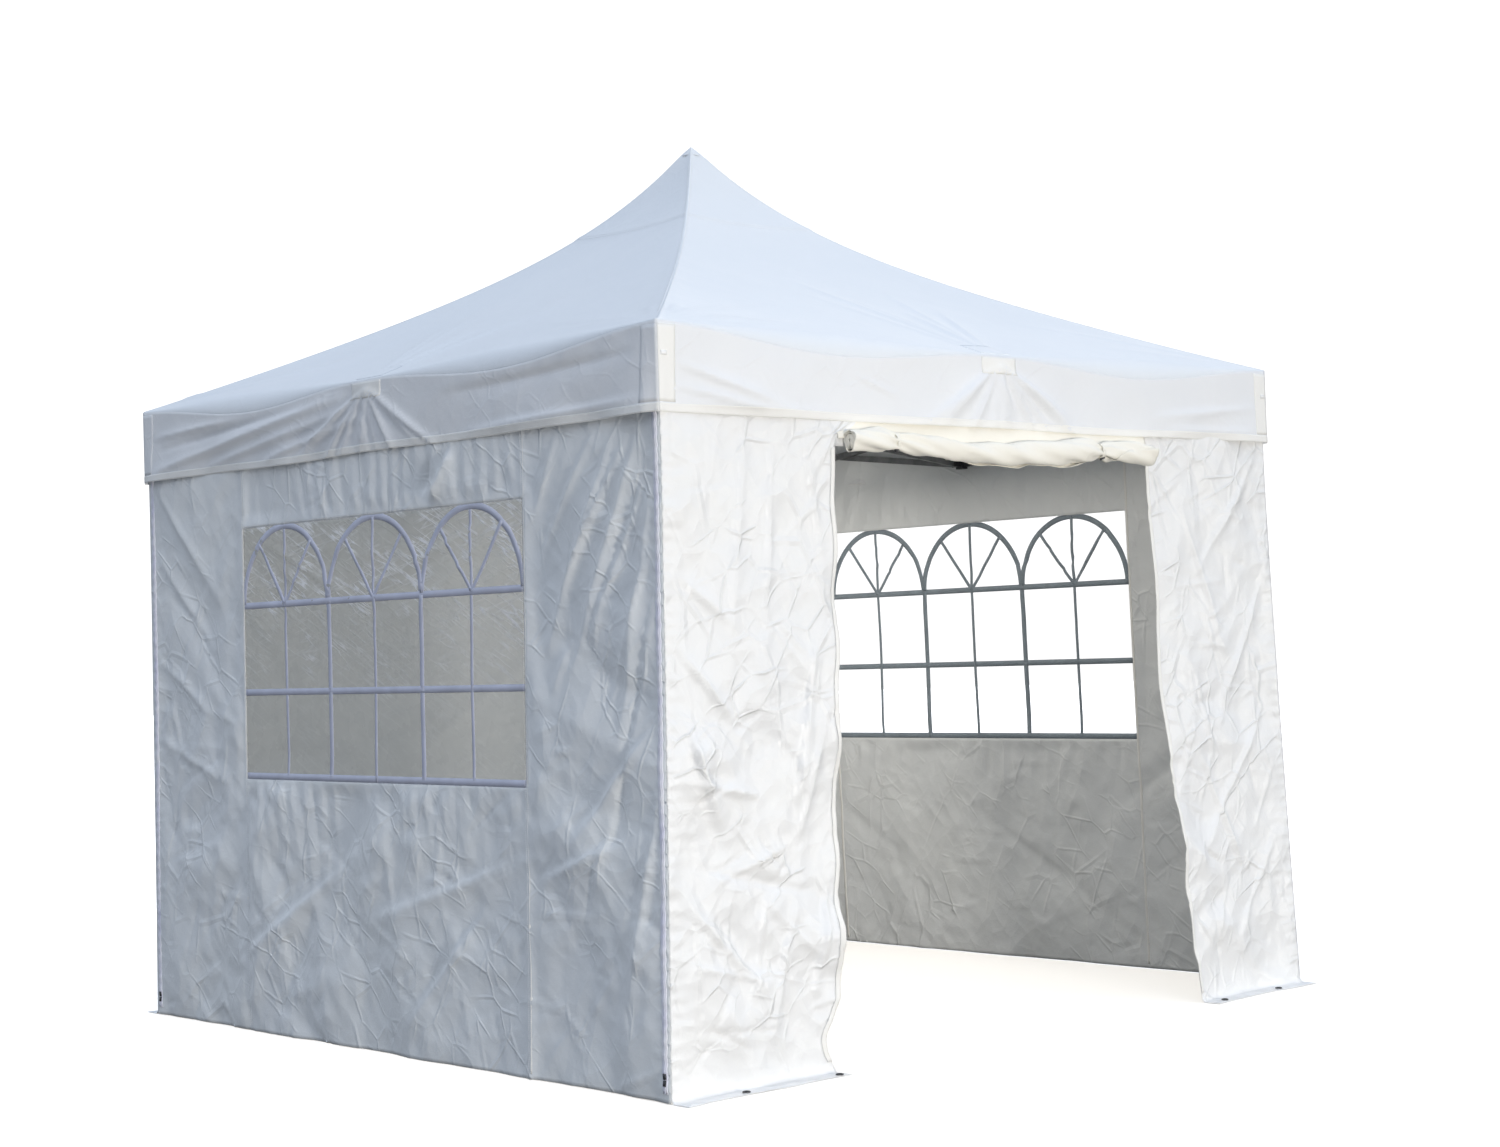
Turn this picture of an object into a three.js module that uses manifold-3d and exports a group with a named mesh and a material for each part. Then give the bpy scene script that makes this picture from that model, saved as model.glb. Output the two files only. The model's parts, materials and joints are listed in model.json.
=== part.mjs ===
// A 3 m by 3 m pop up gazebo: four telescopic legs, a scissor truss along each side, a truss from
// the middle of each side to a centre hub, a sliding peak pole, a four-panel canopy and four walls.
// Millimetres, +Z up, -Y is the door side. The origin is on the ground under the peak.
import * as THREE from 'three';
import { mergeVertices } from 'three/addons/utils/BufferGeometryUtils.js';
import Module from 'manifold-3d';

const wasm = await Module();
wasm.setup();

// ---- driving dimensions ----
const WIDTH = 3000; // eave to eave
const EAVE = 2280; // height of the canopy's edge
const PEAK = 3220; // height of the canopy's tip
const VALANCE = 270; // depth of the skirt below the eave
const TRUSS_ANGLE = (7 * Math.PI) / 180; // slope of the open scissor bars

const LEG = 1455; // leg centre from the middle, along X and along Y
const LEG_SIZE = 30; // outer leg tube
const INNER_SIZE = 25; // inner leg tube
const TUBE_WALL = 1.2;
const COLLAR = 3; // how far the outer leg's lower collar stands out
const BRACKET = 4; // the same for its top bracket
const SLEEVE = 6; // the same for the slider
const TOP_PIVOT = 2215; // height of the upper pivots
const LEG_BOTTOM = 640; // lower end of the outer leg
const INNER_TOP = 1150; // upper end of the inner leg
const FOOT_THICK = 5;
const PEG_HOLE = 5; // radius

const BAR_DEEP = 25; // scissor bar, along the truss plane
const BAR_WIDE = 12; // scissor bar, across the truss plane
const BAR_SIDE = 6.5; // centre of a bar from its truss plane
const PIN = 3.8;
const HEAD = 6.8; // rivet head radius
const BORE = 4.2;
const ROUND = 16; // facets round a small rod
const END_LUG = 44; // pivot from a leg's axis, or from the centre axis, clear of the bars' corners
const MID_LUG = 36; // pivot from a side connector's axis
const MID_BLOCK = 17; // half of a side connector's block
const HUB_BLOCK = 25; // half of a centre hub's block

const POLE = 12; // peak pole radius
const CLOTH = 1; // thickness of the soft sheets
const SEAM = 0.7; // half of the gap where two canopy panels meet
const WALL = 1489; // wall cloth from the middle
const WALL_TOP = 2235;
const WALL_HEM = 3;
const WINDOW = { width: 1650, low: 900, high: 1800 };
const DOOR = { top: 1930, halfTop: 780, halfLow: 900 };
const FLAP = 82; // ground flap, outward from the wall
const ROLL = { radius: 38, half: 790, height: 1947 };

// ---- worked out from them ----
const HALF = WIDTH / 2;
const SPAN = LEG - END_LUG - MID_LUG; // between the pivots of one scissor
const BAR = SPAN / Math.cos(TRUSS_ANGLE);
const LOW_PIVOT = TOP_PIVOT - BAR * Math.sin(TRUSS_ANGLE);
const SIDES = ['front', 'right', 'back', 'left'];
const CORNERS = ['front_left', 'front_right', 'back_right', 'back_left'];

// ---- colours ----
const COLOURS = {
  steel: { color: 0x4a4d50, roughness: 0.45, metalness: 0.8 },
  plastic: { color: 0x24262a, roughness: 0.55, metalness: 0 },
  cloth: { color: 0xeceef2, roughness: 0.8, metalness: 0 },
  film: { color: 0xb9bcc0, roughness: 0.15, metalness: 0 },
};
const finish = (slot) => new THREE.MeshStandardMaterial(COLOURS[slot]);

// ---- solids ----
function solid(geometry) {
  const bare = geometry.clone();
  bare.deleteAttribute('normal');
  bare.deleteAttribute('uv');
  const merged = mergeVertices(bare, 1e-3);
  const vertProperties = new Float32Array(merged.attributes.position.array);
  const triVerts = new Uint32Array(merged.index.array);
  return new wasm.Manifold(new wasm.Mesh({ numProp: 3, vertProperties, triVerts }));
}

function geometryOf(shape) {
  const mesh = shape.getMesh();
  const geometry = new THREE.BufferGeometry();
  geometry.setAttribute('position', new THREE.BufferAttribute(mesh.vertProperties, 3));
  geometry.setIndex(new THREE.BufferAttribute(mesh.triVerts, 1));
  geometry.computeVertexNormals();
  return geometry;
}

const join = (...geometries) =>
  geometryOf(geometries.map(solid).reduce((whole, piece) => whole.add(piece)));
const cut = (geometry, ...tools) =>
  geometryOf(tools.map(solid).reduce((whole, tool) => whole.subtract(tool), solid(geometry)));

// a box from its lowest to its highest corner
function block(low, high) {
  const size = high.map((value, axis) => value - low[axis]);
  const centre = high.map((value, axis) => (value + low[axis]) / 2);
  return new THREE.BoxGeometry(...size).translate(...centre);
}

// an upright box of a square section about the Z axis
const post = (half, low, high) => block([-half, -half, low], [half, half, high]);

// a round rod along Y
function crossRod(radius, x, z, y0, y1) {
  const rod = new THREE.CylinderGeometry(radius, radius, Math.abs(y1 - y0), ROUND);
  return rod.translate(x, (y0 + y1) / 2, z);
}

// a round rod along Z
function uprightRod(radius, z0, z1) {
  const rod = new THREE.CylinderGeometry(radius, radius, z1 - z0, ROUND);
  return rod.rotateX(Math.PI / 2).translate(0, 0, (z0 + z1) / 2);
}

// ---- frame pieces ----

// One scissor bar: a rectangular tube with a bore near each end and one in the middle. It lies in
// the plane of local X and Z. side is +1 or -1, the local Y side of the truss plane. A rising bar
// carries the rivet that the falling bar turns on.
function scissorBar(inner, rise, side) {
  const reach = BAR / 2 + BAR_DEEP / 2;
  const y = side * BAR_SIDE;
  const half = BAR_WIDE / 2;
  const deep = BAR_DEEP / 2;
  const hollow = block(
    [-reach - 1, y - half + TUBE_WALL, -deep + TUBE_WALL],
    [reach + 1, y + half - TUBE_WALL, deep - TUBE_WALL],
  );
  const bores = [-BAR / 2, BAR / 2].map((x) => crossRod(BORE, x, 0, y - half - 1, y + half + 1));
  let bar = cut(block([-reach, y - half, -deep], [reach, y + half, deep]), hollow, ...bores);
  if (rise > 0) {
    const rivet = crossRod(PIN, 0, 0, y + side * (half + 1), -side * (BAR_WIDE + 2));
    const head = crossRod(HEAD, 0, 0, -side * (BAR_WIDE + 1.5), -side * (BAR_WIDE + 3.5));
    bar = join(bar, rivet, head);
  } else {
    bar = cut(bar, crossRod(BORE, 0, 0, y - half - 1, y + half + 1));
  }
  const middle = inner + SPAN / 2;
  return bar.rotateY(-rise * TRUSS_ANGLE).translate(middle, 0, (TOP_PIVOT + LOW_PIVOT) / 2);
}

// A lug with a rivet for one bar's end. It points along local X after a turn about the connector's
// axis. side is the local Y side that the bar lies on; the lug's plate lies on the other side.
function lug(turn, side, reach, height) {
  const plateHigh = 12;
  const y = [-side * 1, -side * 11];
  const plate = block(
    [0, Math.min(...y), height - plateHigh],
    [reach + 10, Math.max(...y), height + plateHigh],
  );
  const rivet = crossRod(PIN, reach, height, -side * 5, side * (BAR_WIDE + 2));
  const head = crossRod(HEAD, reach, height, side * (BAR_WIDE + 1.5), side * (BAR_WIDE + 3.5));
  return join(plate, rivet, head).rotateZ(turn);
}

const QUARTER = Math.PI / 2;

// The leg stands on its corner group's axis, with its bars along +X and +Y.
function outerLeg() {
  const half = LEG_SIZE / 2;
  const collar = post(half + COLLAR, LEG_BOTTOM, LEG_BOTTOM + 60);
  const bracket = post(half + BRACKET, TOP_PIVOT - 26, TOP_PIVOT + 32);
  const body = join(
    post(half, LEG_BOTTOM, TOP_PIVOT),
    collar,
    bracket,
    lug(0, -1, END_LUG, TOP_PIVOT),
    lug(QUARTER, 1, END_LUG, TOP_PIVOT),
  );
  const inside = post(half - TUBE_WALL, LEG_BOTTOM + 60, TOP_PIVOT + 10);
  const guide = post(INNER_SIZE / 2 + 0.4, LEG_BOTTOM - 1, LEG_BOTTOM + 61);
  return cut(body, inside, guide);
}

function slider() {
  const half = LEG_SIZE / 2;
  const sleeve = join(
    post(half + SLEEVE, LOW_PIVOT - 30, LOW_PIVOT + 30),
    lug(0, 1, END_LUG, LOW_PIVOT),
    lug(QUARTER, -1, END_LUG, LOW_PIVOT),
  );
  return cut(sleeve, post(half + 0.5, LOW_PIVOT - 31, LOW_PIVOT + 31));
}

// The inner leg and the foot plate welded under it, with two peg holes on the inward side.
function innerLeg() {
  const half = INNER_SIZE / 2;
  const plate = block([-20, -20, 0], [62, 62, FOOT_THICK]);
  const leg = join(post(half, FOOT_THICK - 1, INNER_TOP), plate);
  const inside = post(half - TUBE_WALL, FOOT_THICK + 1, INNER_TOP + 1);
  const pegHoles = [
    [48, 8],
    [8, 48],
  ].map(([x, y]) => uprightRod(PEG_HOLE, -1, FOOT_THICK + 1).translate(x, y, 0));
  return cut(leg, inside, ...pegHoles);
}

// The connector in the middle of a side: two lugs along the side and one towards the hub.
function sideConnector(height, along, inward) {
  return join(
    post(MID_BLOCK, height - 22, height + 22),
    lug(0, along, MID_LUG, height),
    lug(Math.PI, -along, MID_LUG, height),
    lug(QUARTER, inward, MID_LUG, height),
  );
}

// A centre hub with a lug towards each side.
function hub(height, side, bore) {
  const lugs = SIDES.map((name, n) => lug(-QUARTER + n * QUARTER, side, END_LUG, height));
  const body = join(post(HUB_BLOCK, height - 24, height + 24), ...lugs);
  return cut(body, uprightRod(bore, height - 25, height + 25));
}

const poleTop = PEAK - 60;
const peakPole = () =>
  cut(uprightRod(POLE, LOW_PIVOT - 20, poleTop), uprightRod(POLE - 2, LOW_PIVOT - 21, poleTop - 4));

// The mushroom on the pole's end that spreads the canopy's tip.
function peakCap() {
  const dome = [
    [0, PEAK - 24],
    [12, PEAK - 27],
    [24, PEAK - 36],
    [32, PEAK - 50],
    [32, PEAK - 58],
    [17, PEAK - 62],
    [17, PEAK - 95],
    [POLE + 0.4, PEAK - 95],
    [POLE + 0.4, poleTop + 0.4],
    [0, poleTop + 0.4],
  ].map(([radius, z]) => new THREE.Vector2(radius, z));
  const lathe = new THREE.LatheGeometry(dome.reverse(), 2 * ROUND);
  return lathe.rotateX(QUARTER);
}

// ---- soft pieces ----

// Height of the canopy at a distance from the middle: a straight slope with a steeper peak.
function roofHeight(distance) {
  const share = distance / HALF;
  const straight = 0.65 * (1 - share);
  const peaked = 0.35 * Math.exp(-share / 0.195);
  return EAVE + (PEAK - EAVE) * (straight + peaked);
}

// One quarter of the canopy with its skirt: a bent sheet, cut along the two hips.
function canopyPanel() {
  const stations = [8, 70, 140, 220, 320, 440, 600, 800, 1100, HALF];
  const outside = stations.map((s) => [s, roofHeight(s)]);
  const inside = stations.slice(0, -1).map((s) => [s, roofHeight(s) - CLOTH]);
  const inner = HALF - CLOTH;
  const section = [
    ...outside,
    [HALF, EAVE - VALANCE],
    [inner, EAVE - VALANCE],
    [inner, roofHeight(inner) - CLOTH],
    ...inside.reverse(),
  ];
  const shape = new THREE.Shape(section.map(([s, z]) => new THREE.Vector2(s, z)));
  const sheet = new THREE.ExtrudeGeometry(shape, { depth: WIDTH + 2, bevelEnabled: false });
  sheet.translate(0, 0, -HALF - 1).rotateX(QUARTER).rotateZ(-QUARTER);
  const reach = HALF + 10;
  const wedge = new THREE.Shape([
    new THREE.Vector2(0, -SEAM * 1.5),
    new THREE.Vector2(-reach, -reach - SEAM * 1.5),
    new THREE.Vector2(reach, -reach - SEAM * 1.5),
  ]);
  const column = new THREE.ExtrudeGeometry(wedge, { depth: PEAK + 10, bevelEnabled: false });
  return geometryOf(solid(sheet).intersect(solid(column)));
}

const wallSheet = (half) =>
  block([-half, -WALL - CLOTH / 2, WALL_HEM], [half, -WALL + CLOTH / 2, WALL_TOP]);

// ground flap, from x0 to x1, on the outside of the wall
const groundFlap = (x0, x1) =>
  block([x0, -WALL - FLAP, WALL_HEM], [x1, -WALL, WALL_HEM + CLOTH]);

function windowWall() {
  const half = WINDOW.width / 2;
  const opening = block([-half, -WALL - 5, WINDOW.low], [half, -WALL + 5, WINDOW.high]);
  return cut(wallSheet(WALL - 2), opening);
}

function windowFilm() {
  const half = WINDOW.width / 2 - 0.5;
  return block(
    [-half, -WALL - 0.4, WINDOW.low + 0.5],
    [half, -WALL + 0.4, WINDOW.high - 0.5],
  );
}

function doorWall() {
  const opening = new THREE.Shape([
    new THREE.Vector2(-DOOR.halfLow, 0),
    new THREE.Vector2(DOOR.halfLow, 0),
    new THREE.Vector2(DOOR.halfTop, DOOR.top),
    new THREE.Vector2(-DOOR.halfTop, DOOR.top),
  ]);
  const doorway = new THREE.ExtrudeGeometry(opening, { depth: 400, bevelEnabled: false });
  doorway.rotateX(QUARTER).translate(0, -WALL + 200, 0);
  const sheet = join(wallSheet(WALL), groundFlap(-WALL, WALL));
  return cut(sheet, doorway);
}

const plainWall = () => join(wallSheet(WALL), groundFlap(-WALL, WALL));

function doorRoll() {
  const roll = new THREE.CylinderGeometry(ROLL.radius, ROLL.radius, ROLL.half * 2, 12);
  const y = -WALL - CLOTH / 2 - 1 - ROLL.radius;
  return roll.rotateZ(QUARTER).translate(0, y, ROLL.height);
}

// ---- assembly ----
const gazebo = new THREE.Group();

function add(parent, name, geometry, slot) {
  const mesh = new THREE.Mesh(geometry, finish(slot));
  mesh.name = name;
  parent.add(mesh);
}

function frameAt(parent, turn, x = 0, y = 0) {
  const group = new THREE.Group();
  group.position.set(x, y, 0);
  group.rotation.z = turn;
  parent.add(group);
  return group;
}

SIDES.forEach((side, n) => {
  const frame = frameAt(gazebo, n * QUARTER);
  const middle = frameAt(frame, 0, 0, -LEG);
  add(middle, `upper_connector_${side}`, sideConnector(TOP_PIVOT, 1, 1), 'plastic');
  add(middle, `lower_connector_${side}`, sideConnector(LOW_PIVOT, -1, -1), 'plastic');
  const spoke = frameAt(frame, -QUARTER);
  add(spoke, `hub_bar_rising_${side}`, scissorBar(END_LUG, 1, -1), 'steel');
  add(spoke, `hub_bar_falling_${side}`, scissorBar(END_LUG, -1, 1), 'steel');
  [1, -1].forEach((way) => {
    const half = frameAt(middle, way > 0 ? 0 : Math.PI);
    const label = `${side}_${way > 0 ? 'a' : 'b'}`;
    add(half, `side_bar_rising_${label}`, scissorBar(MID_LUG, 1, -way), 'steel');
    add(half, `side_bar_falling_${label}`, scissorBar(MID_LUG, -1, way), 'steel');
  });
  add(frame, `canopy_${side}`, canopyPanel(), 'cloth');
});

CORNERS.forEach((corner, n) => {
  const frame = frameAt(frameAt(gazebo, n * QUARTER), 0, -LEG, -LEG);
  add(frame, `outer_leg_${corner}`, outerLeg(), 'steel');
  add(frame, `slider_${corner}`, slider(), 'plastic');
  add(frame, `inner_leg_${corner}`, innerLeg(), 'steel');
});

add(gazebo, 'hub_upper', hub(TOP_PIVOT, 1, POLE + 1.5), 'plastic');
add(gazebo, 'hub_lower', hub(LOW_PIVOT, -1, POLE + 1.5), 'plastic');
add(gazebo, 'peak_pole', peakPole(), 'steel');
add(gazebo, 'peak_cap', peakCap(), 'plastic');

add(gazebo, 'wall_front', doorWall(), 'cloth');
add(frameAt(gazebo, Math.PI), 'wall_back', plainWall(), 'cloth');
[
  ['left', -QUARTER],
  ['right', QUARTER],
].forEach(([side, turn]) => {
  const frame = frameAt(gazebo, turn);
  add(frame, `wall_${side}`, windowWall(), 'cloth');
  add(frame, `window_${side}`, windowFilm(), 'film');
});
add(gazebo, 'door_roll', doorRoll(), 'cloth');

export default gazebo;
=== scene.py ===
import json
import math

import bpy
import numpy as np
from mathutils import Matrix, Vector


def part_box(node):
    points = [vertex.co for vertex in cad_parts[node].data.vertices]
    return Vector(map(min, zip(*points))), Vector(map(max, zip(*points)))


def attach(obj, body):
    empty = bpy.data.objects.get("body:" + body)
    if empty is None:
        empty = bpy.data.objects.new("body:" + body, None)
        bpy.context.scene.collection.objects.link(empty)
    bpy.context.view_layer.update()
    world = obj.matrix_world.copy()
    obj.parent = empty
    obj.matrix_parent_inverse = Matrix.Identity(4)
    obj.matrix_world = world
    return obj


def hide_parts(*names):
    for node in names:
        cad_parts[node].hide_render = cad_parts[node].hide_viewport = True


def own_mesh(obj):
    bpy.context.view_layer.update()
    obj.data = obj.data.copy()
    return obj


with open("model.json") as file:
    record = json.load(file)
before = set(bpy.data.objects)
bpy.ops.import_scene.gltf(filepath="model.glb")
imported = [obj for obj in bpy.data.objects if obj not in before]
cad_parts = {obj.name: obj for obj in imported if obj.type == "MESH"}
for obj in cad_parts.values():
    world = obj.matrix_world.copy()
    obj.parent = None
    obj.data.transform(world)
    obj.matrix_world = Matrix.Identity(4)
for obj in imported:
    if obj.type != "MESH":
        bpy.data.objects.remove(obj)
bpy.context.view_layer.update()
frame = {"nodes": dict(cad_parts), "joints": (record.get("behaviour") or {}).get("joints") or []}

# ---------------------------------------------------------------- the frame's own sizes
JOINTS = {joint["name"]: joint for joint in frame["joints"]}
SIDES = ("front", "right", "back", "left")
CORNERS = ("front_left", "front_right", "back_right", "back_left")
canopy_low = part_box("canopy_front")[0]
wall_low, wall_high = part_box("wall_back")
left_low, left_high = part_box("wall_left")
film_low, film_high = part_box("window_left")
roll_low, roll_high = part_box("door_roll")

HALF = -JOINTS["canopy_front_fold"]["pos_m"][1]  # eave, from the middle
EAVE = JOINTS["canopy_front_fold"]["pos_m"][2]
SKIRT_HEM = canopy_low.z
WALL = -(left_low.x + left_high.x) / 2  # wall cloth, from the middle
WALL_HEM = wall_low.z
WALL_TOP = wall_high.z
FLAP = wall_high.y - WALL  # how far the ground flap reaches
WINDOW_HALF = film_high.y
SILL, LINTEL = film_low.z, film_high.z
DOOR_TOP = 1.93
DOOR_HALF_TOP = 0.78
DOOR_HALF_LOW = 0.90
ROLL_Z = (roll_low.z + roll_high.z) / 2
ROLL_Y = (roll_low.y + roll_high.y) / 2
ROLL_RADIUS = (roll_high.z - roll_low.z) / 2
LEG = 1.455  # leg's axis, from the middle
RISE = 0.94  # eave to peak

STEP = 0.0125  # spacing of the cloth's mesh
CLOTH = 0.0008


# ---------------------------------------------------------------- camera, light and floor
def make_camera():
    data = bpy.data.cameras.new("camera")
    data.lens = 59.5
    data.sensor_width = 36
    camera = bpy.data.objects.new("camera", data)
    camera.location = (-6.225, -6.96, 1.314)
    heading, pitch, roll = (math.radians(angle) for angle in (47.15, 1.69, -1.92))
    forward = Vector((
        math.cos(pitch) * math.cos(heading),
        math.cos(pitch) * math.sin(heading),
        math.sin(pitch),
    ))
    turn = forward.to_track_quat("-Z", "Y").to_matrix().to_4x4()
    camera.rotation_euler = (turn @ turn.Rotation(roll, 4, "Z")).to_euler()
    bpy.context.scene.collection.objects.link(camera)
    bpy.context.scene.camera = camera


def lamp(name, place, aim, power, colour, size):
    data = bpy.data.lights.new(name, "AREA")
    data.energy = power
    data.color = colour
    data.size = size
    light = bpy.data.objects.new(name, data)
    light.visible_camera = False
    light.location = place
    light.rotation_euler = (Vector(aim) - light.location).to_track_quat("-Z", "Y").to_euler()
    bpy.context.scene.collection.objects.link(light)


class Tree:
    """A node tree, with short calls for its nodes."""

    def __init__(self, owner):
        owner.use_nodes = True
        self.tree = owner.node_tree

    def add(self, kind, values=None, **fields):
        """A new node: fields are set on the node itself, then values on its input sockets."""
        node = self.tree.nodes.new(kind)
        for field, value in fields.items():
            setattr(node, field, value)
        for socket, value in (values or {}).items():
            node.inputs[socket].default_value = value
        return node

    def link(self, output, socket):
        self.tree.links.new(output, socket)


def make_sky():
    """A soft dome, bluest and brightest overhead; the camera itself sees plain white."""
    world = bpy.data.worlds.new("studio")
    bpy.context.scene.world = world
    sky = Tree(world)
    dome_light = sky.tree.nodes["Background"]
    split = sky.add("ShaderNodeSeparateXYZ")
    ramp = sky.add("ShaderNodeValToRGB")
    ramp.color_ramp.elements[0].color = (0.185, 0.20, 0.225, 1)
    ramp.color_ramp.elements[1].color = (1.09, 1.22, 1.42, 1)
    white = sky.add("ShaderNodeBackground", {"Color": (1, 1, 1, 1), "Strength": 1.25})
    mix = sky.add("ShaderNodeMixShader")
    sky.link(sky.add("ShaderNodeTexCoord").outputs["Generated"], split.inputs["Vector"])
    sky.link(split.outputs["Z"], ramp.inputs["Fac"])
    sky.link(ramp.outputs["Color"], dome_light.inputs["Color"])
    sky.link(sky.add("ShaderNodeLightPath").outputs["Is Camera Ray"], mix.inputs["Fac"])
    sky.link(dome_light.outputs["Background"], mix.inputs[1])
    sky.link(white.outputs["Background"], mix.inputs[2])
    sky.link(mix.outputs["Shader"], sky.tree.nodes["World Output"].inputs["Surface"])


def make_light():
    bpy.context.scene.view_settings.view_transform = "Standard"
    make_sky()
    lamp("key", (8, -13, 0.6), (0, -1.5, 1.1), 330, (1.0, 0.94, 0.83), 1.4)
    lamp("graze", (-2.7, -10.5, 0.6), (-1.0, -1.5, 1.2), 455, (1.0, 0.95, 0.87), 1.0)
    lamp("inside", (0, 0, 2.0), (0, 0, 0), 19, (1.0, 0.95, 0.86), 2.4)


def floor_material():
    """Pale and even: the camera sees it brighten to white with distance, other rays a grey."""
    material = bpy.data.materials.new("floor")
    look = Tree(material)
    shader = look.tree.nodes["Principled BSDF"]
    shader.inputs["Roughness"].default_value = 0.9
    shader.inputs["Specular IOR Level"].default_value = 0.1
    shader.inputs["Emission Color"].default_value = (1.0, 0.98, 0.96, 1)
    seen = look.add("ShaderNodeLightPath").outputs["Is Camera Ray"]
    tones = {"A": (0.22, 0.215, 0.21, 1), "B": (1.0, 0.97, 0.92, 1)}
    mix = look.add("ShaderNodeMix", tones, data_type="RGBA")
    away = look.add("ShaderNodeVectorMath", operation="LENGTH")
    reach = {"From Min": 2.4, "From Max": 5.0, "To Min": 0.46, "To Max": 1.3}
    fade = look.add("ShaderNodeMapRange", reach)
    glow = look.add("ShaderNodeMath", operation="MULTIPLY")
    look.link(look.add("ShaderNodeTexCoord").outputs["Object"], away.inputs[0])
    look.link(away.outputs["Value"], fade.inputs["Value"])
    look.link(seen, glow.inputs[0])
    look.link(fade.outputs["Result"], glow.inputs[1])
    look.link(glow.outputs["Value"], shader.inputs["Emission Strength"])
    look.link(seen, mix.inputs["Factor"])
    look.link(mix.outputs["Result"], shader.inputs["Base Color"])
    return material


def make_floor():
    radius = 60
    count = 48
    turns = [2 * math.pi * n / count for n in range(count)]
    rim = [(radius * math.cos(a), radius * math.sin(a), 0) for a in turns]
    mesh = bpy.data.meshes.new("floor")
    mesh.from_pydata(rim, [], [tuple(range(count))])
    mesh.materials.append(floor_material())
    floor = bpy.data.objects.new("floor", mesh)
    bpy.context.scene.collection.objects.link(floor)


make_camera()
make_light()
make_floor()


# ---------------------------------------------------------------- materials
class Nodes(Tree):
    """A material being built: its Principled shader and the textures it is made from."""

    def __init__(self, name, colour, roughness, **sockets):
        self.material = bpy.data.materials.new(name)
        super().__init__(self.material)
        self.shader = self.tree.nodes["Principled BSDF"]
        self.shader.inputs["Base Color"].default_value = (*colour, 1)
        self.shader.inputs["Roughness"].default_value = roughness
        for socket, value in sockets.items():
            self.shader.inputs[socket.replace("_", " ")].default_value = value
        self.place = self.add("ShaderNodeTexCoord").outputs["Object"]

    def noise(self, scale, detail, rough=0.5, stretch=(1, 1, 1)):
        mapping = self.add("ShaderNodeMapping", {"Scale": stretch})
        self.link(self.place, mapping.inputs["Vector"])
        values = {"Scale": scale, "Detail": detail, "Roughness": rough}
        node = self.add("ShaderNodeTexNoise", values)
        self.link(mapping.outputs["Vector"], node.inputs["Vector"])
        return node.outputs["Fac"]

    def wave(self, scale, axis):
        node = self.add("ShaderNodeTexWave", {"Scale": scale}, bands_direction=axis)
        self.link(self.place, node.inputs["Vector"])
        return node.outputs["Fac"]

    def spread(self, value, low, high, start=0.3, end=0.7):
        """value between start and end becomes low to high."""
        values = {"From Min": start, "From Max": end, "To Min": low, "To Max": high}
        node = self.add("ShaderNodeMapRange", values)
        self.link(value, node.inputs["Value"])
        return node.outputs["Result"]

    def combine(self, a, b, operation="MULTIPLY"):
        node = self.add("ShaderNodeMath", operation=operation)
        for socket, value in zip(node.inputs, (a, b)):
            if isinstance(value, (int, float)):
                socket.default_value = value
            else:
                self.link(value, socket)
        return node.outputs["Value"]

    def tint(self, value, dark, light, start=0.3, end=0.7):
        """The base colour, from dark to light as value rises."""
        node = self.add("ShaderNodeMix", {"A": (*dark, 1), "B": (*light, 1)}, data_type="RGBA")
        self.link(self.spread(value, 0, 1, start, end), node.inputs["Factor"])
        self.link(node.outputs["Result"], self.shader.inputs["Base Color"])

    def rough(self, value, low, high):
        self.link(self.spread(value, low, high), self.shader.inputs["Roughness"])

    def bump(self, *layers):
        """Each layer is (height, distance in metres, strength); later ones lie on the earlier."""
        normal = None
        for height, distance, strength in layers:
            node = self.add("ShaderNodeBump", {"Distance": distance, "Strength": strength})
            self.link(height, node.inputs["Height"])
            if normal is not None:
                self.link(normal, node.inputs["Normal"])
            normal = node.outputs["Normal"]
        self.link(normal, self.shader.inputs["Normal"])


def weave(nodes, threads):
    """Height of a plain weave with that many threads to the metre."""
    across = nodes.combine(nodes.wave(threads, "X"), nodes.wave(threads, "Y"), "MAXIMUM")
    return nodes.combine(across, nodes.wave(threads, "Z"))


def crumpled(nodes, scale, tilt, bend, feature="F1"):
    """Long crumples that lean by tilt: height between scattered points, or distance to an edge."""
    values = {"Rotation": (math.radians(tilt), math.radians(-tilt), 0), "Scale": (1, 1, 0.5)}
    mapping = nodes.add("ShaderNodeMapping", values, vector_type="TEXTURE")
    nodes.link(nodes.place, mapping.inputs["Vector"])
    wander = nodes.add("ShaderNodeTexNoise", {"Scale": scale * 0.6})
    nodes.link(nodes.place, wander.inputs["Vector"])
    shift = nodes.add("ShaderNodeVectorMath", {"Scale": bend / scale}, operation="SCALE")
    nodes.link(wander.outputs["Color"], shift.inputs[0])
    moved = nodes.add("ShaderNodeVectorMath", operation="ADD")
    nodes.link(mapping.outputs["Vector"], moved.inputs[0])
    nodes.link(shift.outputs["Vector"], moved.inputs[1])
    cells = nodes.add("ShaderNodeTexVoronoi", {"Scale": scale}, feature=feature)
    nodes.link(moved.outputs["Vector"], cells.inputs["Vector"])
    return cells.outputs["Distance"]


def sharp_folds(nodes, scale, tilt, spots):
    """Thin straight ridges in scattered patches."""
    edge = crumpled(nodes, scale, tilt, 0.3, "DISTANCE_TO_EDGE")
    ridge_line = nodes.spread(edge, 1.0, 0.0, 0.0, 0.06)
    return nodes.combine(ridge_line, nodes.spread(nodes.noise(spots, 3), 0.0, 1.0, 0.46, 0.62))


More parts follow.
